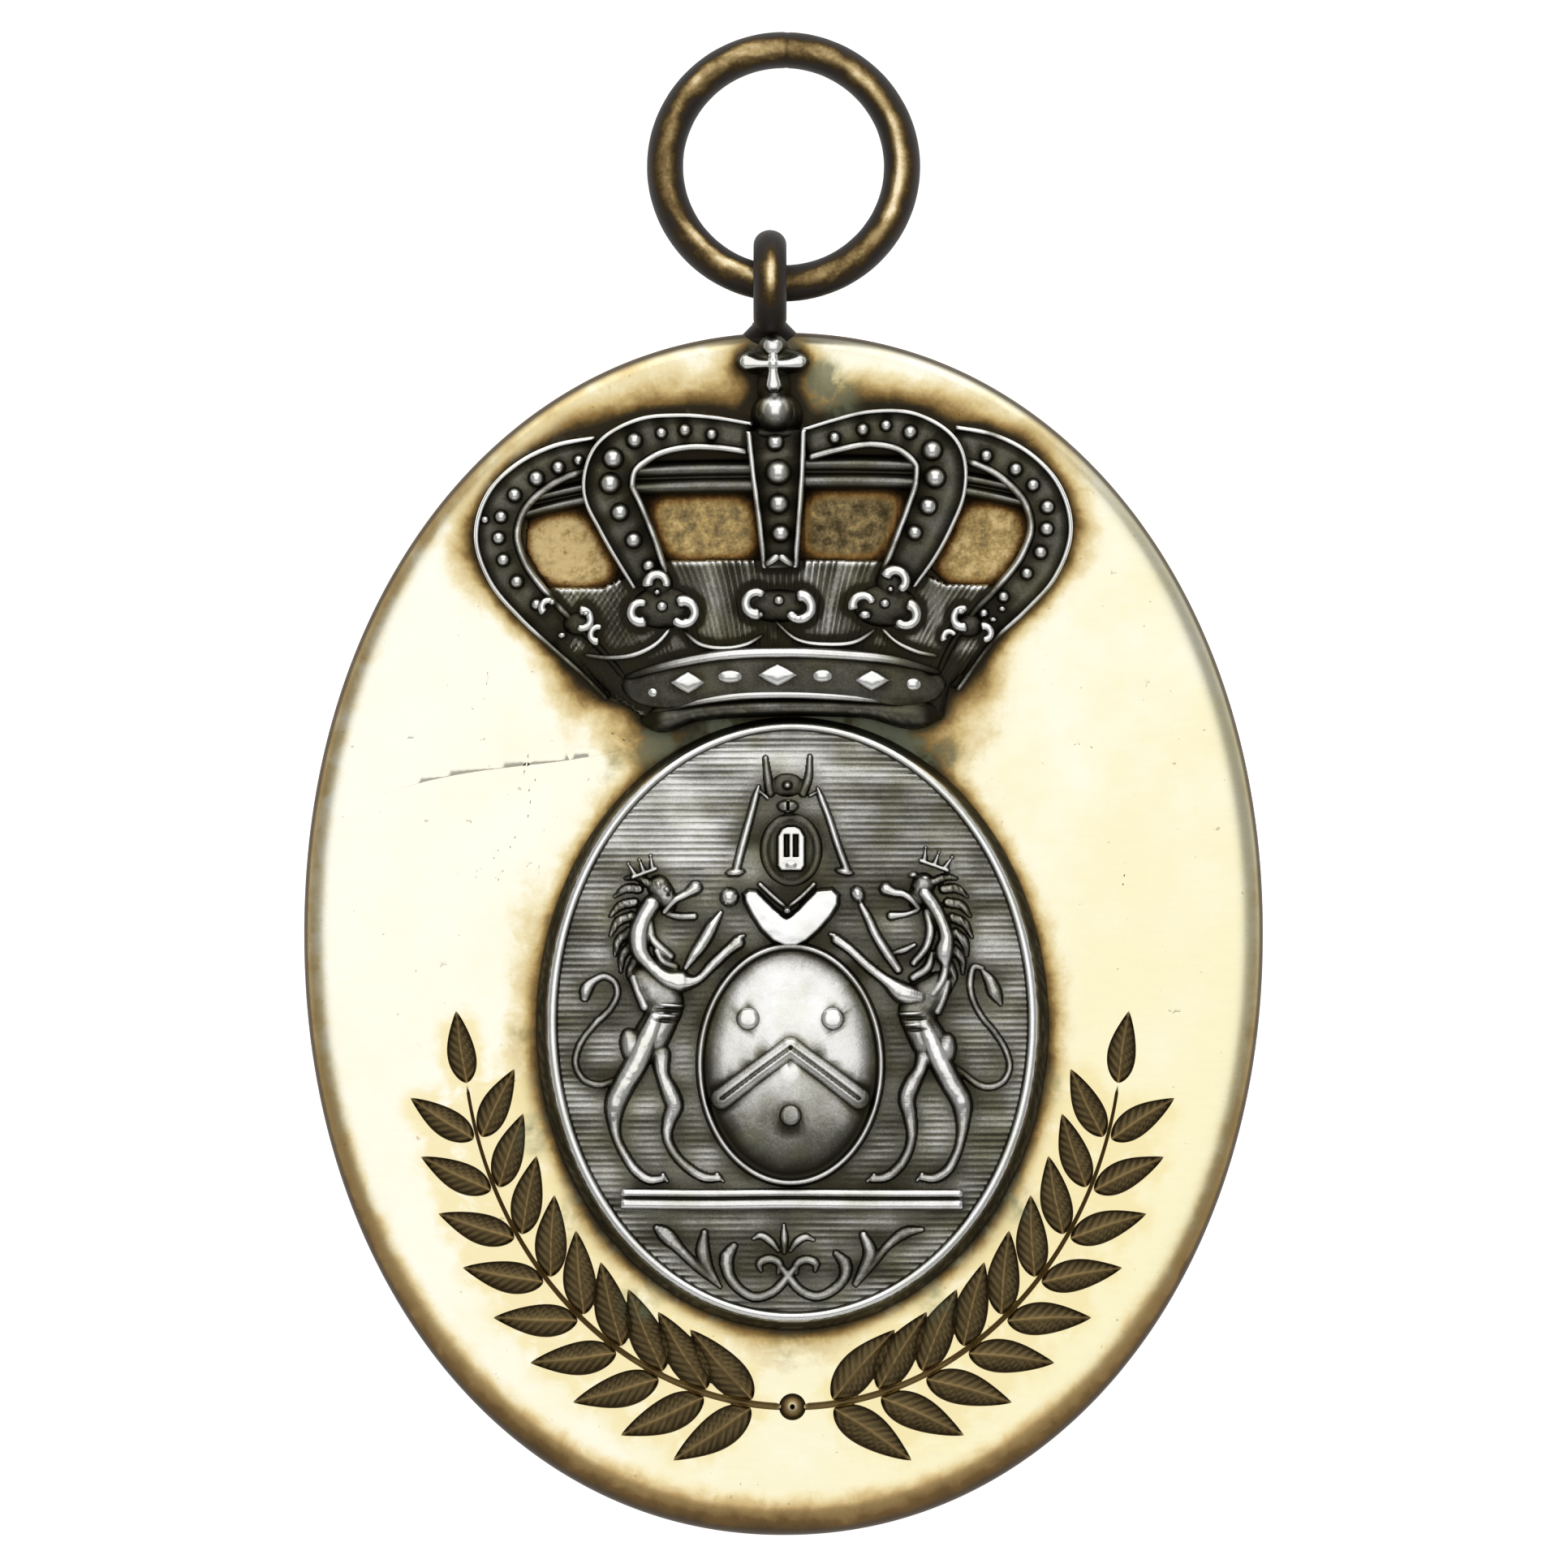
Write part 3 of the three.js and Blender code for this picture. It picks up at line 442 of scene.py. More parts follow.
medallionLook = dict(
    x=0.59, field=3.2, sides=360, pitch=0.43, hatch=0.075, wall=(-5.82, 16.3, 19.85),
    # middle y, half width, half height, z
    levels=[
        (-5.95, 17.02, 20.36, 1.7), (-5.95, 17.02, 20.36, 2.2), (-5.94, 16.96, 20.3, 2.42),
        (-5.92, 16.8, 20.2, 2.66), (-5.9, 16.62, 20.1, 2.94), (-5.88, 16.5, 20.02, 3.2),
        (-5.86, 16.42, 19.96, 3.42), (-5.84, 16.34, 19.89, 3.64), (-5.82, 16.26, 19.83, 3.78),
        (-5.81, 16.15, 19.74, 3.88), (-5.8, 16.03, 19.65, 3.93), (-5.79, 15.9, 19.55, 3.95),
        (-5.78, 15.79, 19.46, 3.93), (-5.78, 15.71, 19.39, 3.86), (-5.78, 15.65, 19.34, 3.7),
        (-5.78, 15.6, 19.29, 3.45), (-5.78, 15.56, 19.26, 3.2), (-5.78, 15.48, 19.2, 3.1),
    ],
)
fieldZ = medallionLook["field"]
figureBase = 3.0

# The lions. Limbs, locks, blade and barb are rows of x, y, half, top;
# mounds and belts are x, y, halfX, halfY, top, turn.
leftLion = dict(
    limbs=[
        [(-8.3, 3.15, 0.75, 4.35), (-7.9, 2.6, 0.7, 4.3), (-7.6, 1.9, 0.5, 4.05)],                   # skull
        [(-7.9, 1.5, 0.26, 4.2), (-7.16, 2.3, 0.3, 4.5), (-6.44, 2.68, 0.34, 4.5), (-5.85, 3.08, 0.5, 4.6)],
        [(-7.7, 1.35, 0.25, 3.95), (-7.1, 1.2, 0.3, 4.05), (-5.95, 1.18, 0.3, 4.05)],                # lower jaw
        [(-8.77, 2.0, 0.62, 4.7), (-9.35, 0.95, 0.62, 4.65), (-9.62, -0.1, 0.7, 4.75), (-9.5, -1.2, 0.6, 4.7),
         (-8.8, -2.1, 0.5, 4.6), (-7.7, -2.96, 0.62, 4.75), (-6.9, -3.12, 0.75, 4.8)],                # neck and chest
        [(-8.9, 0.9, 0.3, 4.2), (-8.7, -0.3, 0.36, 4.3), (-8.1, -0.95, 0.36, 4.25), (-7.5, -1.45, 0.34, 4.15)],
        [(-8.4, -1.1, 0.3, 4.2), (-8.0, -1.8, 0.34, 4.2), (-7.2, -2.2, 0.34, 4.1)],
        [(-6.7, -3.2, 0.62, 4.7), (-5.9, -3.1, 0.4, 4.55), (-4.66, -1.98, 0.42, 4.5), (-3.6, -1.0, 0.42, 4.45),
         (-3.05, -0.55, 0.5, 4.45)],                                                                  # lower arm
        [(-6.5, -2.25, 0.22, 4.35), (-5.95, -1.4, 0.4, 4.5), (-5.3, -0.45, 0.48, 4.55), (-4.7, 0.6, 0.42, 4.5),
         (-4.15, 1.45, 0.2, 4.2)],                                                                    # upper arm
        [(-9.3, -3.0, 0.9, 4.1), (-8.5, -3.6, 1.25, 4.25), (-7.9, -4.6, 1.2, 4.25), (-8.15, -5.6, 1.1, 4.4),
         (-8.7, -6.7, 1.15, 4.5)],                                                                    # belly
        [(-9.95, -2.9, 0.36, 4.2), (-9.6, -3.9, 0.36, 4.25), (-9.2, -4.8, 0.4, 4.3)],                 # flank
        [(-8.5, -5.6, 0.6, 4.7), (-9.1, -7.0, 0.75, 4.8), (-9.8, -8.6, 0.78, 4.75), (-10.6, -10.0, 0.75, 4.6),
         (-11.15, -11.2, 0.72, 4.45), (-11.25, -12.4, 0.5, 4.2), (-11.1, -13.4, 0.36, 4.15),
         (-10.5, -14.7, 0.36, 4.15), (-9.7, -15.8, 0.38, 4.2), (-8.9, -16.3, 0.36, 4.15), (-8.1, -16.25, 0.3, 4.05)],
        [(-8.2, -8.0, 0.7, 4.1), (-8.0, -9.4, 0.5, 4.5), (-7.5, -10.6, 0.62, 4.6), (-7.25, -11.3, 0.62, 4.55),
         (-7.6, -12.4, 0.48, 4.25), (-7.72, -13.4, 0.38, 4.15), (-7.2, -14.6, 0.36, 4.15), (-6.2, -15.6, 0.38, 4.2),
         (-5.2, -16.15, 0.36, 4.15), (-4.3, -16.2, 0.3, 4.05)],
        [(-8.0, -16.0, 0.24, 4.05), (-7.7, -16.4, 0.16, 3.9)],                                         # toes
        [(-4.4, -15.95, 0.22, 4.05), (-4.0, -16.4, 0.15, 3.9)],
        [(-2.9, -0.2, 0.26, 4.3), (-2.65, -0.1, 0.2, 4.1)],
        [(-9.9, -8.9, 0.28, 3.75), (-11.2, -9.7, 0.27, 3.8), (-12.2, -10.0, 0.27, 3.85), (-13.2, -9.7, 0.27, 3.9),
         (-13.8, -8.7, 0.27, 3.9), (-13.6, -7.5, 0.28, 3.95), (-12.6, -6.05, 0.28, 3.95), (-11.4, -4.8, 0.28, 3.95),
         (-11.02, -3.9, 0.27, 3.95), (-11.2, -3.2, 0.27, 3.95), (-11.9, -2.8, 0.28, 3.95),
         (-12.6, -3.1, 0.32, 4.0), (-13.1, -3.7, 0.46, 4.15), (-13.2, -4.2, 0.34, 4.0)],               # tail
    ],
    locks=[
        [(-9.6, 3.0, 0.4, 4.0), (-10.5, 3.0, 0.38, 3.85), (-11.2, 2.5, 0.2, 3.6)],
        [(-9.9, 2.1, 0.42, 4.0), (-10.8, 1.9, 0.4, 3.85), (-11.5, 1.2, 0.2, 3.6)],
        [(-10.1, 1.2, 0.42, 4.0), (-11.0, 0.8, 0.4, 3.85), (-11.5, -0.1, 0.2, 3.6)],
        [(-10.2, 0.2, 0.42, 4.0), (-10.9, -0.4, 0.4, 3.85), (-11.2, -1.4, 0.2, 3.6)],
        [(-10.2, -0.8, 0.42, 4.0), (-10.7, -1.5, 0.38, 3.85), (-10.8, -2.5, 0.2, 3.6)],
        [(-9.9, -1.8, 0.4, 4.0), (-10.2, -2.6, 0.36, 3.85), (-10.0, -3.4, 0.2, 3.6)],
        [(-9.0, 3.4, 0.4, 4.1), (-9.7, 3.8, 0.34, 3.9), (-10.5, 3.7, 0.2, 3.6)],
    ],
    mounds=[
        (-7.75, 2.98, 0.34, 0.24, 4.62, -0.6), (-8.3, 3.3, 0.3, 0.45, 4.5, 0.4),    # brow and ear
        (-3.6, 2.46, 0.72, 0.72, 4.9, 0), (-3.2, 4.1, 0.78, 0.36, 4.4, 0.1),        # paw and guard
        (-10.0, -7.6, 0.9, 1.5, 4.5, 0.3), (-11.15, -11.2, 0.72, 0.8, 4.5, 0),
    ],
    belts=[(-7.6, -4.7, 1.15, 0.2, 4.62, -0.06), (-7.85, -5.4, 0.95, 0.2, 4.72, -0.06)],
    blade=[(-3.16, 4.2, 0.38, 4.25), (-2.75, 5.8, 0.38, 4.35), (-2.2, 7.8, 0.35, 4.3), (-1.8, 9.3, 0.3, 4.2),
           (-1.65, 9.8, 0.2, 4.0)],
    barb=[(-1.7, 9.6, 0.2, 4.05), (-1.0, 9.0, 0.2, 4.0)],
    crown=dict(x=-9.35, y=4.35, turn=0.35, half=0.8),
    eye=(-7.62, 2.62), box=(-14.4, -1.0, -17.2, 10.3),
)
rightLion = dict(
    limbs=[
        [(9.3, 3.3, 0.75, 4.35), (9.1, 2.8, 0.7, 4.3), (8.8, 2.1, 0.5, 4.05)],
        [(8.95, 1.75, 0.26, 4.2), (8.5, 2.3, 0.3, 4.45), (7.95, 2.66, 0.32, 4.5), (7.3, 2.78, 0.36, 4.5),
         (6.8, 3.0, 0.48, 4.6)],
        [(8.9, 1.6, 0.22, 4.05), (8.15, 1.34, 0.24, 4.2), (7.15, 1.22, 0.36, 4.3)],
        [(9.35, 2.75, 0.5, 4.7), (9.95, 1.9, 0.5, 4.7), (10.45, 0.95, 0.46, 4.65), (10.8, -0.3, 0.5, 4.7),
         (10.65, -1.2, 0.62, 4.75), (10.75, -2.1, 0.36, 4.3), (10.5, -3.1, 0.4, 4.3), (9.9, -3.95, 0.4, 4.3)],
        [(9.5, 1.5, 0.3, 4.2), (9.75, 0.3, 0.36, 4.4), (9.5, -0.8, 0.34, 4.3), (8.65, -1.9, 0.3, 4.2)],
        [(9.85, -1.3, 0.26, 4.15), (9.55, -2.2, 0.36, 4.35), (8.6, -2.9, 0.34, 4.3)],
        [(7.3, -1.25, 0.2, 4.0), (8.0, -1.05, 0.28, 4.1), (8.7, -0.7, 0.2, 4.0)],
        [(9.0, -4.15, 0.55, 4.5), (8.05, -3.95, 0.72, 4.8), (6.9, -3.15, 0.45, 4.6), (5.45, -2.0, 0.4, 4.5),
         (4.3, -0.92, 0.38, 4.45), (3.5, -0.35, 0.4, 4.4)],
        [(7.6, -2.35, 0.34, 4.3), (6.9, -1.3, 0.4, 4.45), (6.15, -0.1, 0.38, 4.5), (5.5, 1.3, 0.34, 4.4),
         (5.15, 1.95, 0.26, 4.3)],
        [(10.3, -3.4, 0.9, 4.1), (9.5, -4.1, 1.2, 4.25), (8.9, -5.1, 1.2, 4.25), (9.1, -6.0, 1.1, 4.4),
         (9.6, -7.0, 1.15, 4.5)],
        [(10.9, -3.2, 0.3, 4.1), (10.6, -4.2, 0.34, 4.2), (10.2, -5.1, 0.36, 4.3)],
        [(9.3, -6.0, 0.6, 4.6), (9.9, -7.3, 0.72, 4.75), (10.55, -8.8, 0.74, 4.7), (11.2, -10.0, 0.72, 4.6),
         (11.8, -11.1, 0.7, 4.45), (11.9, -12.4, 0.5, 4.2), (11.75, -13.7, 0.36, 4.15), (11.35, -14.9, 0.36, 4.15),
         (10.8, -15.75, 0.38, 4.2), (10.0, -16.2, 0.36, 4.15), (9.2, -16.15, 0.3, 4.05)],
        [(9.5, -7.6, 0.7, 4.1), (9.1, -8.9, 0.48, 4.5), (8.5, -10.0, 0.6, 4.6), (8.2, -10.8, 0.6, 4.55),
         (8.4, -12.1, 0.48, 4.25), (8.5, -13.4, 0.38, 4.15), (8.2, -14.6, 0.36, 4.15), (7.6, -15.5, 0.38, 4.2),
         (6.8, -16.1, 0.36, 4.15), (5.9, -16.25, 0.3, 4.05)],
        [(9.2, -15.95, 0.22, 4.05), (8.85, -16.35, 0.15, 3.9)],
        [(6.0, -16.0, 0.22, 4.05), (5.55, -16.4, 0.15, 3.9)],
        [(3.35, -0.1, 0.24, 4.25), (3.1, 0.0, 0.18, 4.1)],
        [(10.9, -8.6, 0.28, 3.75), (12.0, -9.3, 0.27, 3.8), (12.7, -9.85, 0.28, 3.9), (13.5, -10.15, 0.28, 3.9),
         (14.5, -9.85, 0.27, 3.9), (15.0, -8.9, 0.26, 3.9), (14.75, -7.7, 0.27, 3.9), (14.0, -6.5, 0.27, 3.9),
         (13.05, -5.3, 0.27, 3.9), (12.5, -4.1, 0.27, 3.9), (12.4, -3.0, 0.28, 3.95), (12.7, -2.15, 0.26, 3.95),
         (13.2, -2.25, 0.22, 3.85)],
        [(13.2, -2.4, 0.2, 3.8), (13.7, -3.1, 0.42, 4.05), (14.0, -3.8, 0.5, 4.1), (14.4, -4.6, 0.2, 3.8)],
    ],
    locks=[
        [(10.6, 3.0, 0.4, 4.0), (11.5, 3.0, 0.38, 3.85), (12.2, 2.5, 0.2, 3.6)],
        [(10.9, 2.1, 0.42, 4.0), (11.8, 1.9, 0.4, 3.85), (12.4, 1.2, 0.2, 3.6)],
        [(11.2, 1.1, 0.42, 4.0), (12.0, 0.7, 0.4, 3.85), (12.5, -0.2, 0.2, 3.6)],
        [(11.4, 0.1, 0.42, 4.0), (12.0, -0.5, 0.4, 3.85), (12.2, -1.4, 0.2, 3.6)],
        [(11.3, -1.0, 0.42, 4.0), (11.8, -1.6, 0.38, 3.85), (11.9, -2.6, 0.2, 3.6)],
        [(11.0, -2.0, 0.4, 4.0), (11.3, -2.8, 0.36, 3.85), (11.1, -3.6, 0.2, 3.6)],
        [(10.0, 3.5, 0.4, 4.1), (10.8, 3.8, 0.34, 3.9), (11.5, 3.7, 0.2, 3.6)],
    ],
    mounds=[
        (8.6, 3.95, 0.42, 0.26, 4.55, 0.2), (9.4, 3.75, 0.42, 0.26, 4.5, -0.1),
        (4.92, 2.66, 0.54, 0.68, 4.8, 0.5), (4.05, 4.15, 0.74, 0.34, 4.4, -0.2),
        (10.6, -7.9, 0.9, 1.5, 4.5, -0.3), (11.8, -11.1, 0.72, 0.8, 4.5, 0),
    ],
    belts=[(8.55, -5.25, 1.1, 0.2, 4.62, 0.04), (8.7, -6.0, 0.9, 0.2, 4.6, 0.04)],
    blade=[(4.22, 4.2, 0.36, 4.25), (3.6, 5.9, 0.35, 4.35), (2.98, 7.8, 0.32, 4.3), (2.4, 9.3, 0.27, 4.2),
           (2.25, 9.7, 0.18, 4.0)],
    barb=[(2.35, 9.5, 0.18, 4.0), (1.75, 9.2, 0.18, 3.9)],
    crown=dict(x=10.1, y=4.85, turn=-0.35, half=0.95),
    eye=(8.55, 3.0), box=(1.6, 15.6, -17.2, 10.3),
)


# small coronet on a lion's head: a band, three points and a bead on each
def coronetHeight(gx, gy, x, y, turn, half):
    c, s = math.cos(turn), math.sin(turn)
    place = lambda u, v: (x + c * u - s * v, y + s * u + c * v)
    parts = [ridge(gx, gy, [(*place(-half, -0.3), 0.22, 4.3), (*place(half, -0.3), 0.22, 4.3)], figureBase)]
    for u in (-0.85, 0.0, 0.85):
        foot, tip = place(u * half * 0.9, -0.2), place(u * half * 1.1, 0.45)
        parts.append(ridge(gx, gy, [(*foot, 0.3, 4.2), (*tip, 0.13, 4.1)], figureBase))
        parts.append(mound(gx, gy, *place(u * half * 1.15, 0.62), 0.19, 0.19, 4.3, figureBase))
    return blendMax(parts, 0.03)


# limbs, then the mane's locks, paws and belts, then the staff and the coronet over them
def lionHeight(lion):
    def height(gx, gy):
        body = blendMax([ridge(gx, gy, [(x, y, half * 1.14, top) for x, y, half, top in rows], figureBase, 0.5,
                               steps=6 * len(rows)) for rows in lion["limbs"]], 0.035)
        strands = softNoise(gx * 3.0 + gy * 1.2, gy * 1.1, 0.5, 5)
        locks = blendMax([ridge(gx, gy, rows, figureBase, 0.6, steps=14) for rows in lion["locks"]], 0.03)
        locks = locks + 0.16 * strands * (locks > figureBase)
        body = blendMax([body, locks], 0.03)
        for x, y, halfX, halfY, top, turn in lion["mounds"]:
            body = blendMax([body, mound(gx, gy, x, y, halfX, halfY, top, figureBase, 0.42, turn)], 0.05)
        for x, y, halfX, halfY, top, turn in lion["belts"]:
            body = blendMax([body, mound(gx, gy, x, y, halfX, halfY, top, figureBase, 0.4, turn)], 0.03)
            groove = mound(gx, gy, x, y - 0.34, halfX * 1.05, 0.17, 1.0, 0.0, 1.0, turn)
            body = body - 0.28 * np.clip(groove, 0, 1)
        body = blendMax([body, ridge(gx, gy, lion["blade"], figureBase, 0.55, steps=20),
                         ridge(gx, gy, lion["barb"], figureBase, 0.6), coronetHeight(gx, gy, **lion["crown"])], 0.02)
        eyeX, eyeY = lion["eye"]
        body = body - 0.3 * np.exp(-((gx - eyeX) ** 2 + (gy - eyeY) ** 2) / 0.012)
        body = figureBase + 0.72 * (body - figureBase)
        muscle = softNoise(gx, gy, 0.9, 11) * 0.06 + softNoise(gx, gy, 0.3, 12) * 0.03
        return body + muscle * (body > figureBase)
    return height


helmetLook = dict(
    gorget=[(-2.85, 2.75), (-2.4, 3.1), (-1.7, 3.05), (-1.05, 2.4), (-0.45, 1.8), (0.2, 1.3), (0.8, 1.75),
            (1.4, 2.4), (2.1, 3.1), (3.3, 3.2), (3.85, 2.65), (3.8, 1.9), (3.25, 1.0), (2.45, 0.1), (1.65, -0.6),
            (0.9, -1.0), (0.0, -1.0), (-0.85, -0.6), (-1.65, 0.2), (-2.3, 1.2), (-2.75, 2.1)],
    visor=[(-0.5, 4.5), (-0.2, 4.12), (1.2, 4.12), (1.5, 4.5), (1.5, 6.5), (1.2, 7.05), (0.8, 7.25), (0.2, 7.25),
           (-0.2, 7.05), (-0.5, 6.5)],
    # x, y, halfX, halfY, top, power
    mounds=[(0.5, 5.6, 2.15, 2.5, 4.0, 0.4), (0.5, 4.6, 0.8, 0.5, 4.85, 0.5),
            (0.28, 8.5, 0.8, 0.5, 4.45, 0.3), (0.25, 9.88, 0.4, 0.36, 4.35, 0.5), (0.24, 1.6, 0.36, 0.36, 5.0, 0.5),
            (0.25, 9.9, 1.15, 0.85, 3.75, 0.4)],
    slots=[(0.2, 5.88, 0.2, 0.78), (0.8, 5.88, 0.2, 0.78), (0.28, 8.5, 0.1, 0.34)],
    points=[[(-0.9, 9.4, 0.4, 3.7), (-1.05, 10.4, 0.36, 3.85), (-1.2, 11.7, 0.26, 3.8)],
            [(1.3, 9.4, 0.4, 3.7), (1.65, 10.4, 0.36, 3.85), (1.75, 11.8, 0.24, 3.85)]],
    collar=[[(-1.55, 3.3, 0.26, 4.0), (-0.7, 2.5, 0.27, 4.1), (0.15, 1.8, 0.22, 4.15)],
            [(2.0, 3.3, 0.26, 4.0), (1.2, 2.5, 0.27, 4.1), (0.3, 1.8, 0.22, 4.15)]],
    groove=(0.5, 5.6, 1.62, 2.05), box=(-3.6, 4.8, -1.5, 12.3),
)


def helmetHeight(gx, gy):
    look = helmetLook

    # flat top with a rounded edge
    def plateau(away, width, rise):
        swell = np.clip(away / width, -1, 1)
        return figureBase + rise * np.sign(swell) * np.abs(swell) ** 0.5
    gorget, visor = outlineDistance(gx, gy, look["gorget"]), outlineDistance(gx, gy, look["visor"])
    parts = [plateau(gorget, 0.32, 1.3) + 0.1 * np.clip(gorget, 0, 1), plateau(visor, 0.16, 1.65)]
    parts += [mound(gx, gy, x, y, a, b, top, figureBase, power) for x, y, a, b, top, power in look["mounds"]]
    parts += [ridge(gx, gy, rows, figureBase, 0.5, steps=12) for rows in look["points"] + look["collar"]]
    height = blendMax(parts, 0.03)
    for x, y, halfX, halfY in look["slots"]:
        inside = np.minimum(halfX - np.abs(gx - x), halfY - np.abs(gy - y))
        height = height - 0.8 * np.clip(inside / 0.08, 0, 1)
    # a fine groove round the visor
    x, y, halfX, halfY = look["groove"]
    away = np.hypot((gx - x) / halfX, (gy - y) / halfY)
    height = height - 0.12 * np.exp(-((away - 1) / 0.1) ** 2)
    return figureBase + 0.8 * (height - figureBase) + softNoise(gx, gy, 0.5, 21) * 0.03


scrollLook = dict(
    lines=[
        [(0.05, -21.1, 0.18, 3.7), (0.05, -20.2, 0.26, 3.95), (0.02, -19.3, 0.14, 3.8)],
        [(-0.35, -21.0, 0.16, 3.75), (-0.9, -20.35, 0.26, 3.9), (-1.6, -20.0, 0.22, 3.85), (-2.0, -20.2, 0.14, 3.7)],
        [(0.45, -21.0, 0.16, 3.75), (0.9, -20.4, 0.26, 3.9), (1.5, -20.1, 0.24, 3.85), (2.0, -20.3, 0.14, 3.7)],
        [(-0.35, -22.5, 0.16, 3.7), (-0.25, -21.9, 0.26, 3.9), (-0.9, -21.55, 0.28, 3.95), (-1.6, -21.9, 0.26, 3.9),
         (-1.5, -22.3, 0.16, 3.7)],
        [(0.85, -22.5, 0.16, 3.7), (0.85, -21.95, 0.26, 3.9), (1.5, -21.6, 0.28, 3.95), (2.15, -21.9, 0.26, 3.9),
         (2.1, -22.3, 0.16, 3.7)],
        [(0.95, -21.9, 0.2, 3.8), (0.3, -22.7, 0.28, 3.95), (-0.8, -23.8, 0.3, 3.95), (-1.9, -24.1, 0.3, 3.95),
         (-3.0, -23.5, 0.32, 3.95), (-3.7, -22.4, 0.36, 4.0), (-3.75, -21.4, 0.42, 4.0), (-3.3, -20.7, 0.26, 3.8)],
        [(-0.3, -21.9, 0.2, 3.8), (0.3, -22.7, 0.28, 3.95), (1.2, -23.7, 0.3, 3.95), (2.2, -24.05, 0.3, 3.95),
         (3.3, -23.6, 0.32, 3.95), (4.1, -22.6, 0.34, 4.0), (4.1, -21.9, 0.4, 4.0), (3.5, -21.2, 0.24, 3.8)],
        [(-4.3, -23.2, 0.16, 3.7), (-5.0, -22.2, 0.34, 3.85), (-5.35, -21.1, 0.42, 4.0), (-5.25, -19.8, 0.24, 3.9)],
        [(4.7, -23.2, 0.16, 3.7), (5.3, -22.3, 0.34, 3.85), (5.75, -21.2, 0.42, 4.0), (5.3, -19.95, 0.26, 3.9)],
        [(-4.2, -23.4, 0.16, 3.7), (-5.6, -22.2, 0.28, 3.8), (-6.9, -20.9, 0.34, 3.9), (-8.0, -19.8, 0.42, 3.95),
         (-8.4, -19.5, 0.24, 3.8)],
        [(4.8, -23.3, 0.16, 3.7), (6.0, -21.8, 0.26, 3.8), (7.0, -20.6, 0.28, 3.85), (8.2, -19.75, 0.34, 3.9),
         (9.2, -19.6, 0.18, 3.75)],
    ],
    box=(-9.2, 10.0, -24.8, -18.9),
)


def scrollHeight(gx, gy):
    parts = [ridge(gx, gy, [(x, y, half * 1.35, top) for x, y, half, top in rows], figureBase, 0.5, steps=20)
             for rows in scrollLook["lines"]]
    return figureBase + 0.72 * (blendMax(parts, 0.03) - figureBase) + softNoise(gx, gy, 0.35, 31) * 0.03


# hatched field: six rows of points to a line, so that each engraved line has its own groove
def fieldShape():
    cy, halfX, halfY, z = medallionLook["levels"][-2]
    perLine = 6
    lines = int(2 * halfY / medallionLook["pitch"])
    uu, vv = np.meshgrid(np.linspace(-1, 1, 150), np.linspace(-0.9995, 0.9995, lines * perLine))
    gx = medallionLook["x"] + uu * halfX * np.sqrt(1 - vv**2)
    gy = cy + vv * halfY
    z = hatchHeight(gx, gy, np.clip(1.35 - 2.4 * figureNear[mapIndex(gx, gy)], 0.08, 1))
    return np.column_stack([gx.ravel(), gy.ravel(), z.ravel()]), [gridFaces(*gx.shape)]


# the lines are calmer beside the figures
def hatchHeight(gx, gy, calm):
    pitch = medallionLook["pitch"]
    phase = (gy + 0.1 * softNoise(gx, gy, 6.0, 41) * pitch) / pitch
    number = np.floor(phase)
    line = np.abs(phase - number - 0.5) * 2          # 1 at the grooves, 0 on the ridges
    depth = medallionLook["hatch"] * (0.75 + 0.7 * softNoise(gx, number * 3.1, 2.6, 42)
                                      + 0.4 * softNoise(number * 1.7, gx * 0.4, 1.0, 43))
    groove = np.clip(line - 0.25, 0, 1) / 0.75
    return fieldZ + 0.02 - depth * calm * groove ** 1.2 + 0.015 * softNoise(gx, gy, 1.4, 44)


# the shield: rim, dished border and a low dome, with a chevron and three roundels
shieldLook = dict(
    x=0.46, y=-8.64, sides=200,
    levels=[(6.42, 8.28, 2.9), (6.3, 8.16, 3.3), (6.22, 8.08, 3.75), (6.16, 8.0, 3.98), (6.08, 7.92, 4.08),
            (5.98, 7.82, 4.1), (5.88, 7.72, 4.03), (5.8, 7.64, 3.85), (5.72, 7.56, 3.62), (5.6, 7.44, 3.58),
            (5.4, 7.24, 3.66), (5.0, 6.82, 3.82), (4.4, 6.1, 3.98), (3.6, 5.0, 4.12), (2.6, 3.7, 4.24),
            (1.6, 2.3, 4.31), (0.8, 1.2, 4.34), (0.25, 0.4, 4.35)],
    chevron=[(-4.1, -10.9, 0.8, 4.5), (-1.8, -9.15, 0.8, 4.68), (0.46, -7.5, 0.8, 4.8),
             (2.7, -9.15, 0.8, 4.68), (5.0, -10.9, 0.8, 4.5)],
    roundels=[(-2.35, -5.6), (3.25, -5.6), (0.46, -12.0)],
)


def shieldShape():
    look = shieldLook
    return loft([lifted(ovalRing(halfX, halfY, look["sides"], centre=(look["x"], look["y"])), z)
                 for halfX, halfY, z in look["levels"]])


def chargesHeight(gx, gy):
    arms = (shieldLook["chevron"][:3], shieldLook["chevron"][2:])
    parts = [ridge(gx, gy, rows, 3.7, 0.35) for rows in arms]
    for x, y in shieldLook["roundels"]:
        away = np.hypot(gx - x, gy - y)
        parts.append(np.where(away < 1.0, 4.66 - 0.1 * away - 0.9 * np.clip(away / 0.85, 0, 1.2) ** 8, 3.0))
    height = blendMax(parts, 0.02)
    # a thin groove along the middle of the chevron
    for rows in arms:
        middle = ridge(gx, gy, [(x, y, 0.13, 1.0) for x, y, half, top in rows], 0.0)
        height = height - 0.16 * np.clip(middle, 0, 1)
    return height


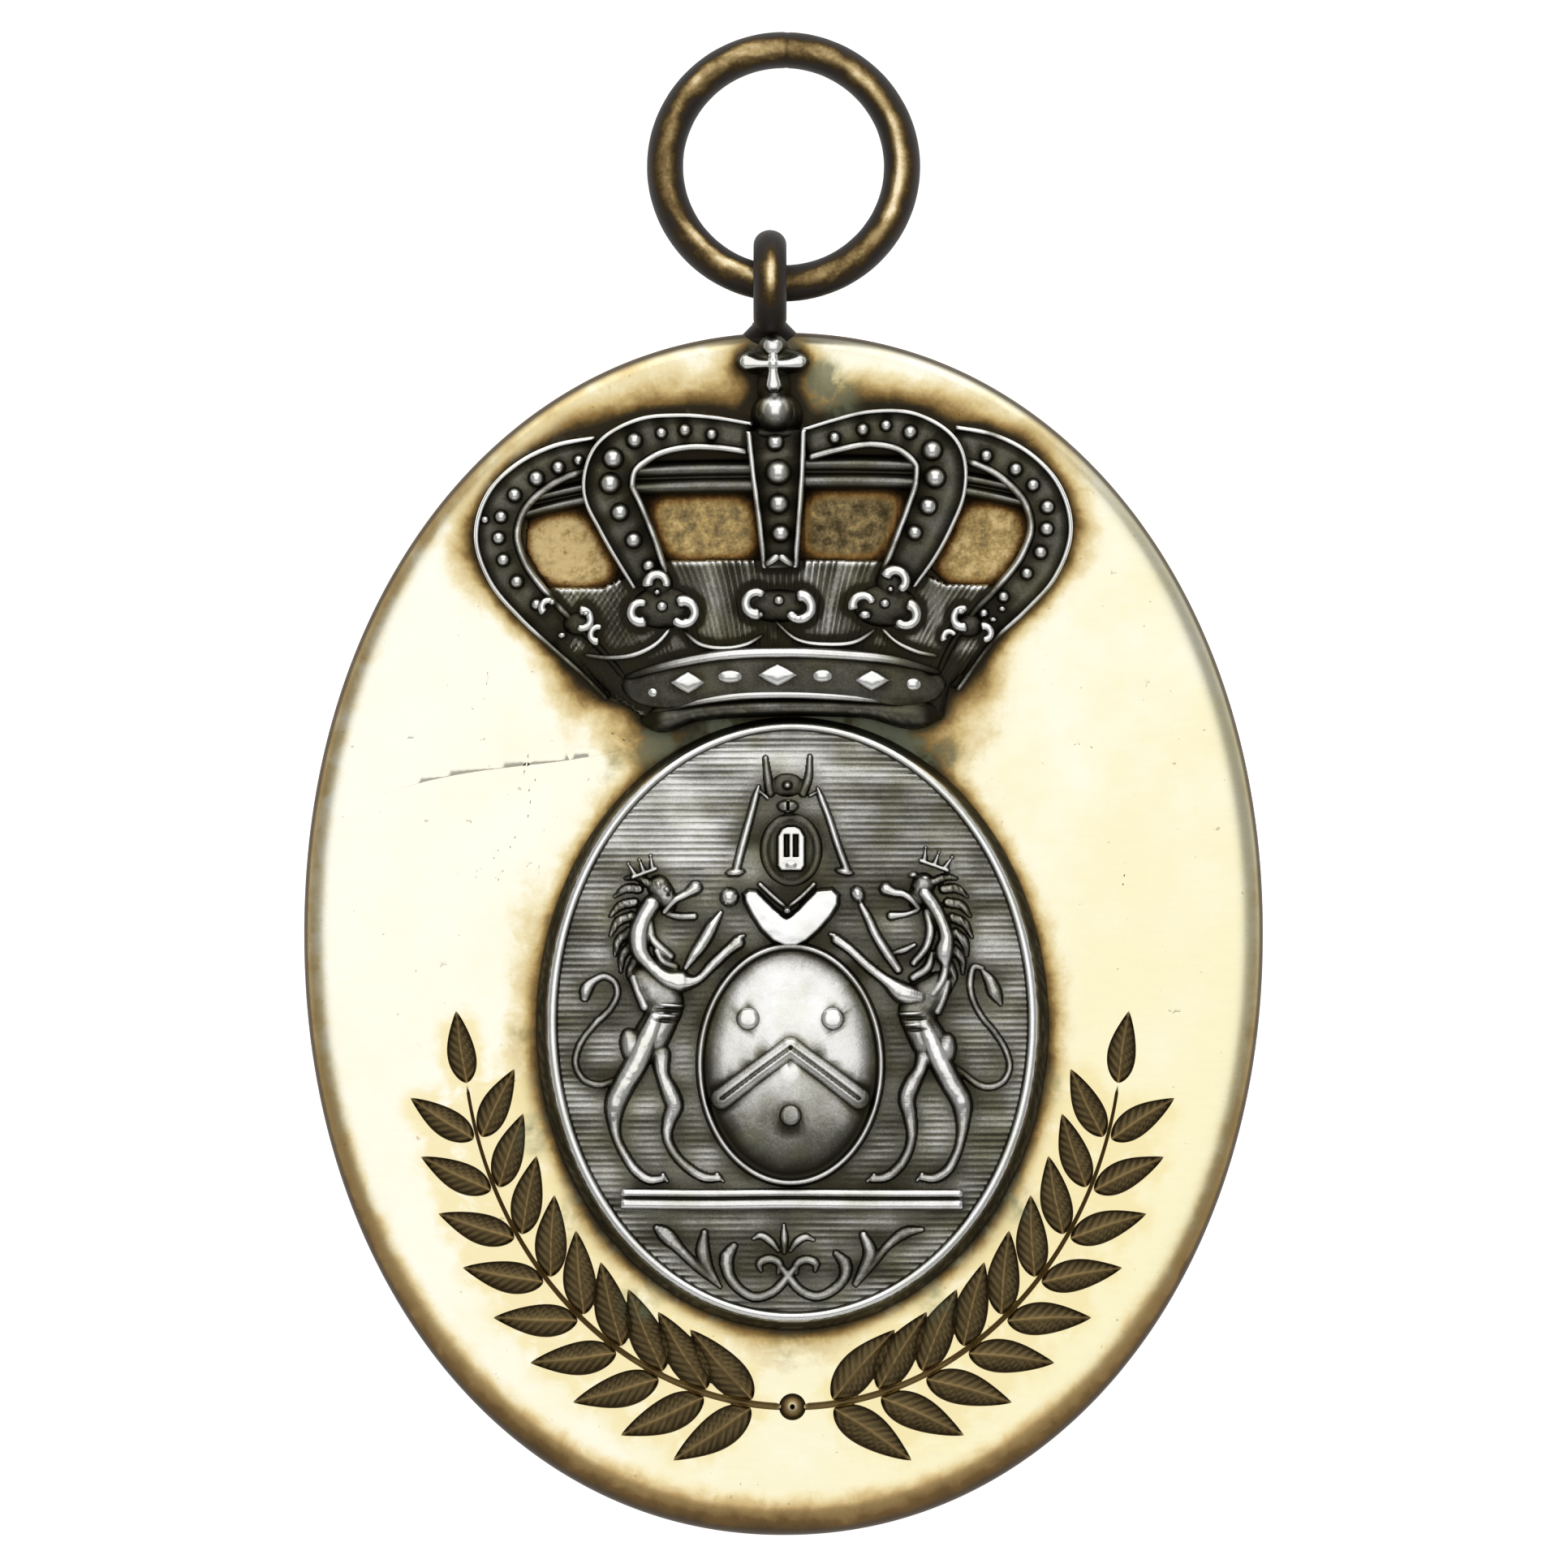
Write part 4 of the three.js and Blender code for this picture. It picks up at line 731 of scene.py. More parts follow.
def plinthShape():
    def section(half, top):
        turn = np.linspace(math.pi, 0, 9)
        upper = [(-0.38 + 0.3 * math.cos(t), top - 0.3 + 0.3 * math.sin(t)) for t in turn]
        lower = [(0.34 + 0.36 * math.cos(t), top - 0.2 + 0.36 * math.sin(t)) for t in turn]
        return [(-0.72, 2.9)] + upper + lower + [(0.74, 2.9)]
    rows = [(-10.75, -17.55, 1, 3.95), (-5.0, -17.6, 1, 4.02), (0.4, -17.55, 1, 3.95), (6.0, -17.6, 1, 4.02),
            (11.85, -17.6, 1, 3.95)]
    return sweep(rows, section, 80)


# The crown

crownLook = dict(
    floor=1.95, cap=3.1,
    # bands: rows of x, y, half, top
    innerLeft=[(-2.2, 32.9, 1.1, 4.3), (-4.6, 33.25, 1.15, 4.45), (-6.9, 33.3, 1.25, 4.65), (-9.3, 32.8, 1.5, 4.9),
               (-11.25, 31.3, 1.72, 5.0), (-11.6, 29.6, 1.78, 4.95), (-10.8, 27.7, 1.75, 4.75), (-9.8, 25.6, 1.6, 4.5),
               (-8.8, 23.4, 1.3, 4.1)],
    innerRight=[(1.4, 32.5, 1.1, 4.3), (3.5, 33.1, 1.15, 4.45), (5.9, 33.55, 1.25, 4.65), (8.5, 33.15, 1.5, 4.9),
                (10.25, 31.6, 1.75, 5.0), (10.35, 29.7, 1.8, 4.95), (9.7, 27.8, 1.75, 4.75), (8.75, 25.7, 1.6, 4.5),
                (7.6, 23.6, 1.3, 4.1)],
    outerLeft=[(-12.3, 31.9, 1.2, 3.6), (-14.9, 31.3, 1.3, 3.85), (-16.9, 30.2, 1.4, 4.0), (-18.4, 28.6, 1.5, 4.1),
               (-19.0, 26.5, 1.55, 4.1), (-18.3, 24.1, 1.5, 3.95), (-16.7, 22.0, 1.4, 3.75), (-14.7, 20.0, 1.3, 3.5),
               (-12.6, 18.0, 1.2, 3.3), (-11.0, 16.2, 1.1, 3.1)],
    outerRight=[(11.2, 32.6, 1.2, 3.6), (13.7, 32.0, 1.3, 3.85), (15.7, 30.8, 1.4, 4.0), (17.1, 29.2, 1.45, 4.1),
                (17.7, 27.0, 1.5, 4.1), (16.9, 24.5, 1.5, 3.95), (15.2, 22.4, 1.4, 3.75), (13.2, 20.4, 1.3, 3.5),
                (11.8, 18.4, 1.2, 3.3), (10.8, 16.6, 1.0, 3.1)],
    centre=[(-0.5, 33.4, 2.0, 5.0), (-0.4, 30.6, 1.8, 5.3), (-0.3, 27.6, 1.5, 5.1), (-0.25, 24.3, 1.2, 4.6)],
)
# pearls along each band: x, y, radius
archPearls = dict(
    innerLeft=[(-4.77, 33.17, 0.42), (-6.55, 33.44, 0.46), (-8.11, 33.25, 0.42), (-9.89, 32.75, 0.55),
               (-11.3, 31.55, 0.68), (-11.5, 29.9, 0.7), (-10.86, 28.0, 0.6), (-9.95, 26.15, 0.56),
               (-8.95, 24.45, 0.45)],
    innerRight=[(3.38, 32.95, 0.42), (5.26, 33.49, 0.46), (6.8, 33.75, 0.42), (8.39, 33.3, 0.5),
                (9.85, 32.1, 0.68), (10.05, 30.3, 0.7), (9.6, 28.4, 0.6), (8.7, 26.65, 0.52)],
    outerLeft=[(-13.6, 31.45, 0.4), (-14.95, 30.98, 0.48), (-16.4, 30.25, 0.55), (-17.85, 29.15, 0.5),
               (-18.75, 27.7, 0.46), (-18.9, 26.3, 0.46), (-18.6, 24.85, 0.46), (-17.7, 23.4, 0.48),
               (-16.4, 21.9, 0.42), (-19.8, 27.5, 0.3)],
    outerRight=[(13.46, 31.75, 0.46), (15.4, 30.85, 0.48), (16.55, 29.8, 0.46), (17.5, 28.35, 0.5),
                (17.45, 26.9, 0.5), (17.05, 25.35, 0.48), (16.15, 23.95, 0.44), (14.6, 22.4, 0.42),
                (13.3, 21.3, 0.36)],
    centre=[(-0.55, 32.6, 0.56), (-0.35, 30.63, 0.82), (-0.33, 28.55, 0.66), (-0.2, 26.6, 0.6)],
)


# wire on the right and left of each band, depth of the trough between them, and steps;
# the wire on the inner side of each arch is the bold one
bandLook = dict(innerLeft=(0.14, 0.22, 0.42, 80), innerRight=(0.22, 0.14, 0.42, 80), outerLeft=(0.16, 0.25, 0.38, 90),
                outerRight=(0.25, 0.16, 0.38, 90), centre=(0.19, 0.19, 0.5, 50))


def archSection(rightWire, leftWire, floor, dip):
    def section(half, top):
        turn = np.linspace(-0.25 * math.pi, 1.1 * math.pi, 8)[2:]
        left = [(-half + leftWire - leftWire * math.cos(t), top - leftWire + leftWire * math.sin(t)) for t in turn]
        right = [(half - rightWire + rightWire * math.cos(t), top - rightWire + rightWire * math.sin(t)) for t in turn]
        a, b = -half + 2.3 * leftWire, half - 2.3 * rightWire
        trough = [(a, top - dip), (a + (b - a) * 0.3, top - dip - 0.03), (a + (b - a) * 0.7, top - dip - 0.03),
                  (b, top - dip)]
        return ([(-half - 0.04, floor), (-half, top - leftWire - 0.1)] + left + trough + right[::-1]
                + [(half, top - rightWire - 0.1), (half + 0.04, floor)])
    return section


def crownBands():
    return [sweep(crownLook[name], archSection(right, left, crownLook["floor"], dip), steps)
            for name, (right, left, dip, steps) in bandLook.items()]


# each pearl sits in its band's trough
def pearlShapes():
    shapes = []
    for name, rows in archPearls.items():
        path = smoothRows(crownLook[name], 100)
        for x, y, radius in rows:
            seat = path[np.argmin(np.hypot(path[:, 0] - x, path[:, 1] - y)), 3] - 0.45
            radius = radius * 1.12
            shapes.append(boss(x, y, radius, radius, seat, seat + 0.2 + radius))
    return shapes


capLook = dict(
    outline=[(-8.9, 14.1), (-5.8, 14.3), (-0.2, 14.7), (5.2, 14.7), (10.5, 14.2), (11.0, 16.3), (13.2, 18.6),
             (15.4, 21.0), (15.2, 23.1), (10.6, 23.4), (7.9, 24.75), (3.2, 24.95), (-0.2, 25.0), (-4.0, 24.95),
             (-8.4, 24.8), (-12.0, 23.1), (-16.4, 23.0), (-16.8, 21.0), (-14.1, 18.4), (-11.6, 15.9)],
    box=(-17.4, 16.2, 13.8, 25.5), stepX=0.085, stepY=0.2, pleat=0.34,
)
farBars = [  # x0, y0, x1, y1, half, top
    (-10.4, 30.2, -1.5, 30.4, 1.15, 3.1), (1.0, 30.7, 9.4, 30.6, 1.15, 3.1),
    (-17.6, 28.3, -12.2, 29.5, 0.85, 2.9), (10.9, 30.1, 16.6, 29.0, 0.85, 2.9),
]


def outlineDistance(gx, gy, outline):
    best = np.full(gx.shape, 99.0)
    for (x0, y0), (x1, y1) in zip(outline, outline[1:] + outline[:1]):
        dx, dy = x1 - x0, y1 - y0
        t = np.clip(((gx - x0) * dx + (gy - y0) * dy) / (dx * dx + dy * dy), 0, 1)
        best = np.minimum(best, np.hypot(gx - x0 - t * dx, gy - y0 - t * dy))
    places = np.column_stack([gx.ravel(), gy.ravel()])
    inside = insideOutline(places, np.array(outline)).reshape(gx.shape)
    return np.where(inside, best, -best)


# the pleated cap behind the fleurons
def capShape():
    look = capLook
    gx, gy = gridOver(look["box"], look["stepX"], look["stepY"])
    away = outlineDistance(gx, gy, look["outline"])
    # pleats lean outwards towards the sides
    across = (gx - (gy - 20.0) * 0.05 * gx) / look["pleat"]
    fold = np.abs((across % 1) - 0.5) * 2
    depth = 0.11 * (0.6 + 1.2 * softNoise(across // 1 * 3.3, gy * 0.35, 1.0, 51))
    z = crownLook["cap"] - depth * fold - 0.25 * np.exp(-np.clip(away, 0, 9) / 0.22)
    # the sides have a slanting weave
    weave = np.abs((((gx * 0.85 - gy * 0.55) / 0.36) % 1) - 0.5) * 2
    side = np.clip((np.abs(gx + 0.4) - 9.6) / 0.6, 0, 1)
    z = z - 0.07 * weave * side + 0.03 * softNoise(gx, gy, 0.8, 52)
    z = np.where(away > 0, z, crownLook["floor"] - 0.1)
    return patchFrom(gx, gy, z, away > -0.09, crownLook["floor"] - 0.15)


def farTop(x):
    return np.where((x > -10.5) & (x < 9.5), 3.1, 2.9)


# the far arches: two rounded rods side by side in each
def barShapes():
    def section(half, top):
        across = np.linspace(-1, 1, 21)
        rods = [(half * v, top + 0.06 - 0.5 * (1 - abs(math.sin(math.pi * v)) ** 0.7)) for v in across]
        return [(-half, 1.9)] + rods + [(half, 1.9)]
    return [sweep([(x0, y0, half, top), ((x0 + x1) / 2, (y0 + y1) / 2 + 0.05, half, top), (x1, y1, half, top)],
                  section, 16) for x0, y0, x1, y1, half, top in farBars]


circlet = dict(
    # x, y, half, top
    band=[(-10.6, 16.9, 0.55, 3.2), (-9.7, 16.45, 1.0, 3.6), (-8.2, 16.35, 1.4, 4.0), (-5.8, 16.8, 1.5, 4.35),
          (-3.4, 17.1, 1.55, 4.6), (0.0, 17.2, 1.55, 4.7), (3.2, 17.15, 1.55, 4.6), (6.0, 16.85, 1.5, 4.3),
          (8.4, 16.5, 1.4, 3.95), (9.8, 16.55, 1.0, 3.6), (10.6, 17.0, 0.55, 3.2)],
    # x, y, z, radius
    upper=[(-10.6, 17.0, 3.2, 0.22), (-8.0, 17.75, 3.9, 0.34), (-4.0, 18.5, 4.5, 0.36), (-0.2, 18.68, 4.65, 0.36),
           (3.65, 18.55, 4.5, 0.36), (7.2, 18.2, 4.1, 0.34), (10.5, 17.35, 3.2, 0.22)],
    lower=[(-8.8, 14.75, 3.3, 0.24), (-6.0, 15.4, 3.9, 0.28), (-3.4, 15.8, 4.25, 0.3), (-0.2, 15.95, 4.35, 0.3),
           (2.9, 15.85, 4.25, 0.3), (6.0, 15.6, 3.9, 0.28), (9.6, 15.2, 3.3, 0.24)],
    # x, y, half, top
    mould=[(-9.5, 14.15, 0.2, 2.6), (-8.9, 14.25, 0.72, 3.2), (-5.8, 14.85, 0.75, 3.7), (-0.2, 15.2, 0.75, 3.95),
           (5.2, 15.1, 0.75, 3.7), (10.0, 14.7, 0.72, 3.2), (10.7, 14.7, 0.2, 2.6)],
    # x, y, halfX, halfY, top, corners
    jewels=[(-8.6, 16.05, 0.42, 0.4, 4.0, 0), (-8.3, 15.35, 0.3, 0.26, 3.85, 0), (-6.33, 16.7, 1.0, 0.66, 4.75, 4),
            (-3.53, 17.1, 0.78, 0.44, 4.9, 0), (-0.4, 17.2, 1.15, 0.66, 5.1, 4), (2.57, 17.15, 0.64, 0.44, 4.9, 0),
            (5.86, 16.85, 1.0, 0.62, 4.75, 4), (8.55, 16.6, 0.55, 0.44, 4.1, 0), (7.0, 16.75, 0.3, 0.12, 4.2, 0)],
)


def circletShapes():
    def flat(half, top):
        return [(-half, 1.95), (-half, top - 0.3), (-half + 0.15, top - 0.12), (-half * 0.5, top), (0, top + 0.03),
                (half * 0.5, top), (half - 0.15, top - 0.12), (half, top - 0.3), (half, 1.95)]

    def mould(half, top):
        turn = np.linspace(math.pi, 0, 11)
        return [(half * math.cos(t), 2.5 + (top - 2.5) * math.sin(t)) for t in turn] + [(half, 1.95), (-half, 1.95)]
    shapes = [sweep(circlet["band"], flat, 70), sweep(circlet["mould"], mould, 70),
              wire(circlet["upper"], 80, 14), wire(circlet["lower"], 80, 14)]
    # shallow collets round the jewels
    return shapes + [boss(x, y, halfX + 0.22, halfY + 0.2, top - 0.75, top - 0.42, corners, power=0.3)
                     for x, y, halfX, halfY, top, corners in circlet["jewels"]]


def jewelShapes():
    return [boss(x, y, halfX * 1.15, halfY * 1.15, top - 0.5, top, corners, sides=36, rings=10, power=0.45)
            for x, y, halfX, halfY, top, corners in circlet["jewels"]]


# Curled leaves: middle, radius of the curl, first angle and sweep in degrees, wire, top
curls = [
    (-8.38, 23.25, 0.62, -25, 230, 0.27, 4.75), (-9.45, 21.35, 0.66, 55, 250, 0.27, 4.7),
    (-6.65, 21.35, 0.78, -150, 280, 0.29, 4.75),
    (-1.78, 21.95, 0.74, 45, 250, 0.29, 4.8), (1.05, 21.7, 0.8, -160, 270, 0.31, 4.8),
    (7.4, 23.45, 0.7, -70, 240, 0.28, 4.75), (5.25, 21.8, 0.68, 10, 200, 0.27, 4.7),
    (8.1, 21.2, 0.72, -150, 240, 0.29, 4.7),
    (-15.6, 21.7, 0.45, 20, 220, 0.2, 4.1), (-13.4, 20.9, 0.6, -120, 230, 0.24, 4.1),
    (-12.3, 19.9, 0.5, 60, 220, 0.2, 4.0),
    (11.9, 21.0, 0.62, 60, 240, 0.24, 4.1), (13.3, 20.0, 0.45, -100, 220, 0.2, 4.0),
    (11.0, 19.7, 0.4, 20, 200, 0.18, 3.9),
]
# Beads among the leaves: x, y, halfX, halfY, top
beads = [
    (-8.06, 21.75, 0.42, 0.42, 4.95), (-0.31, 22.15, 0.4, 0.4, 5.0), (6.72, 21.95, 0.38, 0.38, 4.9),
    (-6.45, 20.75, 0.42, 0.3, 4.7), (-9.3, 20.65, 0.34, 0.26, 4.6), (0.95, 20.95, 0.55, 0.32, 4.85),
    (-1.55, 21.2, 0.32, 0.3, 4.6), (5.4, 21.2, 0.5, 0.4, 4.5), (7.75, 20.45, 0.48, 0.28, 4.6),
    (-8.38, 22.7, 0.3, 0.3, 4.5), (7.1, 22.9, 0.28, 0.28, 4.5),
    (-15.35, 22.05, 0.3, 0.3, 4.2), (-14.7, 19.85, 0.34, 0.28, 4.0), (-13.1, 21.3, 0.34, 0.26, 4.2),
    (-12.55, 19.45, 0.38, 0.24, 4.0), (11.75, 21.45, 0.4, 0.3, 4.2), (11.85, 20.4, 0.36, 0.28, 4.1),
    (13.9, 20.9, 0.3, 0.24, 4.0), (14.5, 21.6, 0.3, 0.26, 4.05),
]
# Backing of each fleuron, so that its leaves stand on a plate of their own: x, y, halfX, halfY
backings = [(-8.05, 21.7, 2.3, 1.6), (-0.35, 21.8, 2.4, 1.25), (6.75, 21.8, 2.4, 1.6), (-8.3, 23.2, 1.1, 1.2),
            (7.2, 23.3, 1.2, 1.3), (-13.6, 20.6, 1.2, 0.9), (12.3, 20.5, 1.1, 0.9)]
# Wires that hang between the fleurons: x, y, z, radius
scallops = [
    [(-13.3, 18.55, 3.4, 0.16), (-11.6, 18.35, 3.5, 0.18), (-9.6, 18.65, 3.65, 0.19), (-8.3, 19.4, 3.7, 0.18),
     (-7.5, 20.3, 3.7, 0.14)],
    [(-6.7, 20.2, 3.6, 0.14), (-5.6, 19.25, 3.75, 0.19), (-4.05, 18.95, 3.8, 0.21), (-2.5, 19.2, 3.75, 0.2),
     (-1.3, 19.9, 3.6, 0.14)],
    [(-0.6, 20.8, 3.6, 0.14), (0.9, 19.55, 3.75, 0.19), (2.95, 19.2, 3.8, 0.21), (4.8, 19.4, 3.75, 0.2),
     (6.2, 20.3, 3.6, 0.14)],
    [(6.5, 20.3, 3.6, 0.14), (7.5, 19.4, 3.7, 0.17), (8.7, 18.8, 3.65, 0.17), (10.3, 18.45, 3.45, 0.15)],
]
chevronFoot = [[(-1.25, 24.4, 4.85, 0.2), (-0.8, 24.75, 4.95, 0.26), (-0.3, 25.15, 5.0, 0.26)],
               [(-0.3, 25.15, 5.0, 0.26), (0.2, 24.75, 4.95, 0.26), (0.65, 24.4, 4.85, 0.2)]]


# curled leaves that thicken towards their tips, then beads, then the backings
def fleuronShapes():
    shapes, part = [], np.linspace(0, 1, 7)
    for x, y, radius, first, turn, thick, top in curls:
        angle = np.radians(first + turn * part)
        swell = thick * (1.15 + 0.65 * part ** 3)
        rows = np.column_stack([x + radius * np.cos(angle), y + radius * np.sin(angle), top - swell, swell])
        shapes.append(wire(rows, 26, 12))
    shapes += [boss(x, y, halfX, halfY, top - 0.55, top) for x, y, halfX, halfY, top in beads]
    return shapes + [boss(x, y, halfX * 0.9, halfY * 0.9, 3.0, 3.65, power=0.4) for x, y, halfX, halfY in backings]


def trimShapes():
    return [wire(rows, 30, 10) for rows in scallops] + [wire(rows, 12, 10) for rows in chevronFoot]


orbLook = dict(x=-0.55, y=34.65, half=1.2, crossX=-0.7, crossY=37.85, crossTop=4.3, ballY=39.02)


# flattened orb on a stand, between a collar below it and a neck above
def orbShapes():
    x, y, half = orbLook["x"], orbLook["y"], orbLook["half"]
    rings = []
    for t in np.linspace(-0.2, math.pi / 2 - 0.03, 16):
        r = half * math.cos(t)
        rings.append(lifted(ovalRing(r, 1.05 * r, 40, centre=(x, y)), 4.5 + 1.5 * math.sin(t)))
    return [loft(rings), boss(x - 0.05, 36.3, 0.95, 0.6, 2.0, 4.2, power=0.4),
            boss(x, 33.2, 1.7, 0.55, 3.0, 4.9, power=0.4), boss(x + 0.1, 34.4, 1.75, 1.75, 1.95, 4.5, power=0.35)]


# low cross with splayed ends and a ball on top, on a plate that is lower still
def crossHeight(gx, gy):
    x, y, top = orbLook["crossX"], orbLook["crossY"], orbLook["crossTop"]
    middle, base = (x, y, 0.34, top), 3.75
    arms = [
        [middle, (x - 1.0, y + 0.02, 0.38, top), (x - 1.7, y + 0.12, 0.56, top - 0.02)],
        [middle, (x + 1.0, y + 0.02, 0.38, top), (x + 1.75, y + 0.15, 0.5, top - 0.02)],
        [middle, (x + 0.02, y - 0.8, 0.4, top), (x + 0.05, y - 1.4, 0.54, top - 0.02)],
        [middle, (x, y + 0.45, 0.36, top - 0.05)],
    ]
    parts = [ridge(gx, gy, rows, base, 0.35, steps=14) for rows in arms]
    parts += [mound(gx, gy, x, orbLook["ballY"], 0.7, 0.66, top, base, 0.42),
              mound(gx, gy, x, y, 0.5, 0.5, top + 0.1, base, 0.5)]
    cross = blendMax(parts, 0.04)
    low = blendMax([mound(gx, gy, x - 0.05, 38.0, 2.5, 0.95, 3.95, 2.0, 0.25),
                    mound(gx, gy, x, 38.9, 1.05, 0.95, 4.0, 2.0, 0.3),
                    mound(gx, gy, x + 0.05, 36.3, 1.15, 1.7, 3.9, 2.0, 0.25)], 0.06)
    return blendMax([np.where(cross > base - 0.2, cross, 0.0), low], 0.02)


# plain posts on the backs of the crown and the medallion
def postShapes(places):
    radius, recess = posts["radius"], posts["recess"]
    return [loft([lifted(ovalRing(r, r, posts["sides"], centre=place), z)
                  for r, z in ((radius - 0.1, recess), (radius, recess + 0.1), (radius, posts["top"]))])
            for place in places]


# Grainy unpolished metal that shows through the crown's openings: corners of each patch
openings = [
    [(-10.2, 29.6), (-2.0, 29.6), (-1.3, 24.7), (-8.6, 24.6)],
    [(1.4, 29.6), (8.6, 29.8), (7.4, 24.6), (0.8, 24.7)],
    [(-17.0, 28.6), (-13.0, 29.2), (-10.0, 24.0), (-11.8, 22.6), (-15.6, 22.8), (-17.2, 25.4)],
    [(10.6, 29.6), (15.6, 29.4), (16.8, 27.0), (14.8, 22.9), (10.9, 23.1), (9.2, 24.8)],
]
openingTones = [0.68, 0.4, 1.0, 0.82]


# rough ground in the openings, with the tone of each and a margin of tarnish and painted shade beside the metal round
# it
def grainShape():
    shapes, tones = [], []
    for k, outline in enumerate(openings):
        (lowX, lowY), (highX, highY) = np.min(outline, 0), np.max(outline, 0)
        gx, gy = gridOver((lowX, highX, lowY, highY), 0.1, 0.1)
        away = outlineDistance(gx, gy, outline)
        z = 2.16 + 0.08 * softNoise(gx, gy, 0.5, 61 + k) + 0.05 * softNoise(gx, gy, 0.22, 71 + k)
        z = z + 0.08 * softNoise(gx, gy, 1.7, 81 + k) - 0.3 * np.clip(0.15 - away, 0, 1)
        shapes.append(patchFrom(gx, gy, z, away > 0.0, 1.9))
        tones.append(np.full(len(shapes[-1][0]), openingTones[k]))
    whole = joined(shapes)
    return whole, dict(tone=np.concatenate(tones), marginTarnishAndShade=1.5 - 2.5 * coverNear[mapIndex(*whole[0].T[:2])])


print("badge: shaping the crown")
circletParts, pearlParts, jewelParts = circletShapes(), pearlShapes(), jewelShapes()
leafParts, trimParts = fleuronShapes(), trimShapes()
crownBody = joined([capShape()] + barShapes() + postShapes(posts["crown"]))
crownArches, crownOrb = joined(crownBands()), joined(orbShapes())
crownCirclet, crownPearls, crownJewels = joined(circletParts), joined(pearlParts), joined(jewelParts)
crownLeaves = joined(leafParts + trimParts)
crownCross = reliefPatch(crossHeight, (-3.5, 2.1, 34.9, 39.9), 0.06, 2.06)

print("badge: shaping the medallion")
lionLeft = reliefPatch(lionHeight(leftLion), leftLion["box"], 0.065, 3.06)
lionRight = reliefPatch(lionHeight(rightLion), rightLion["box"], 0.065, 3.06)
helmet = reliefPatch(helmetHeight, helmetLook["box"], 0.06, 3.06)
scrolls = reliefPatch(scrollHeight, scrollLook["box"], 0.055, 3.08)
shieldBody = joined([shieldShape(), reliefPatch(chargesHeight, (-5.1, 6.1, -13.2, -4.3), 0.07, 3.75)])
plinth = plinthShape()


# Map of heights over the mounts, for the tarnish that gathers in hollows and round the mounts, and for the painted
# shade next to the mounts

# a height over each of the levels counts as figures, as mounts or as the crown's cover over the grain
mapLook = dict(x0=-33.0, y0=-41.5, x1=33.0, y1=42.5, cell=0.1, figures=3.12, mounts=2.08, cover=2.4)
mapRows = int((mapLook["y1"] - mapLook["y0"]) / mapLook["cell"])
mapColumns = int((mapLook["x1"] - mapLook["x0"]) / mapLook["cell"])


def mapIndex(x, y):
    i = np.clip(((np.asarray(y) - mapLook["y0"]) / mapLook["cell"]).astype(int), 0, mapRows - 1)
    j = np.clip(((np.asarray(x) - mapLook["x0"]) / mapLook["cell"]).astype(int), 0, mapColumns - 1)
    return i, j


# spreads points over each face, more on the large ones, and keeps the highest in each cell
def heightMap(shapes):
    heights = np.full((mapRows, mapColumns), 2.0)
    for points, faces in shapes:
        for group in faces:
            if group.shape[1] > 4:
                continue
            corners = points[group]
            if group.shape[1] == 3:
                corners = np.concatenate([corners, corners[:, 2:]], 1)
            longest = np.maximum(np.abs(corners[:, 0] - corners[:, 2])[:, :2].max(1),
                                 np.abs(corners[:, 1] - corners[:, 3])[:, :2].max(1))
            for low, high, count in ((0, 0.15, 2), (0.15, 0.5, 6), (0.5, 99, 24)):
                a, b, c, d = corners[(longest >= low) & (longest < high)].transpose(1, 0, 2)
                for u in np.arange(count) / count:
                    for v in np.arange(count) / count:
                        p = (1 - u) * (1 - v) * a + u * (1 - v) * b + u * v * c + (1 - u) * v * d
                        np.maximum.at(heights, mapIndex(p[:, 0], p[:, 1]), p[:, 2])
    return heights


def blurred(values, size):
    sigma = size / mapLook["cell"]
    fy = np.fft.fftfreq(values.shape[0])[:, None]
    fx = np.fft.rfftfreq(values.shape[1])[None, :]
    soft = np.exp(-2 * (math.pi * sigma) ** 2 * (fx**2 + fy**2))
    return np.fft.irfft2(np.fft.rfft2(values) * soft, values.shape)


print("badge: mapping the heights")
figureShapes = [lionLeft, lionRight, helmet, scrolls, shieldBody, plinth]
figureNear = blurred((heightMap(figureShapes) > mapLook["figures"]).astype(float), 0.7)
medallionWall = loft([lifted(ovalRing(halfX, halfY, medallionLook["sides"], centre=(medallionLook["x"], cy)), z)
                      for cy, halfX, halfY, z in medallionLook["levels"]])
medallionBody = joined([medallionWall, fieldShape()] + postShapes(posts["medallion"]))
crownShapes = [crownBody, crownArches, crownCirclet, crownPearls, crownJewels, crownLeaves, crownOrb, crownCross]
heights = heightMap([medallionBody] + figureShapes + crownShapes)
fineLevel = blurred(heights, 0.22)
mounts = (heights > mapLook["mounts"]).astype(float)
haloFine, haloWide, haloBroad = blurred(mounts, 0.5), blurred(mounts, 1.5), blurred(mounts, 3.6)
coverNear = blurred((heights > mapLook["cover"]).astype(float), 0.75)
cutCover = np.zeros_like(heights)
for cutPoints, _, _ in cuts[:branches["bloomed"]]:
    cutCover[mapIndex(*cutPoints.T[:2])] = 1.0
cutNear, cutAround = blurred(cutCover, 0.35), blurred(cutCover, 1.0)


# Rubs say how bright the silver is at each point, from black at 0 to polished at 1: mostly wear, and on some pieces
# painted highlight and shade

# -1 in a hollow, 1 on a crest
def crestOf(points, reach=0.3):
    return np.clip((points[:, 2] - fineLevel[mapIndex(*points.T[:2])]) / reach, -1, 1)


# a level for the piece, more on its crests and less in its hollows
def silverRub(points, level, rise=0.8, fall=0.5, reach=0.3):
    crest = crestOf(points, reach)
    return level + np.where(crest > 0, rise, fall) * crest


# rises from the foot of each shape to its top: wear on the tops, with a painted highlight there and painted shade
# towards the foot
def domeRubAndHighlight(shapes, low, high, power):
    levels = [points[:, 2] for points, faces in shapes]
    return np.concatenate([low + (high - low) * ((z - z.min()) / np.ptp(z)) ** power for z in levels])


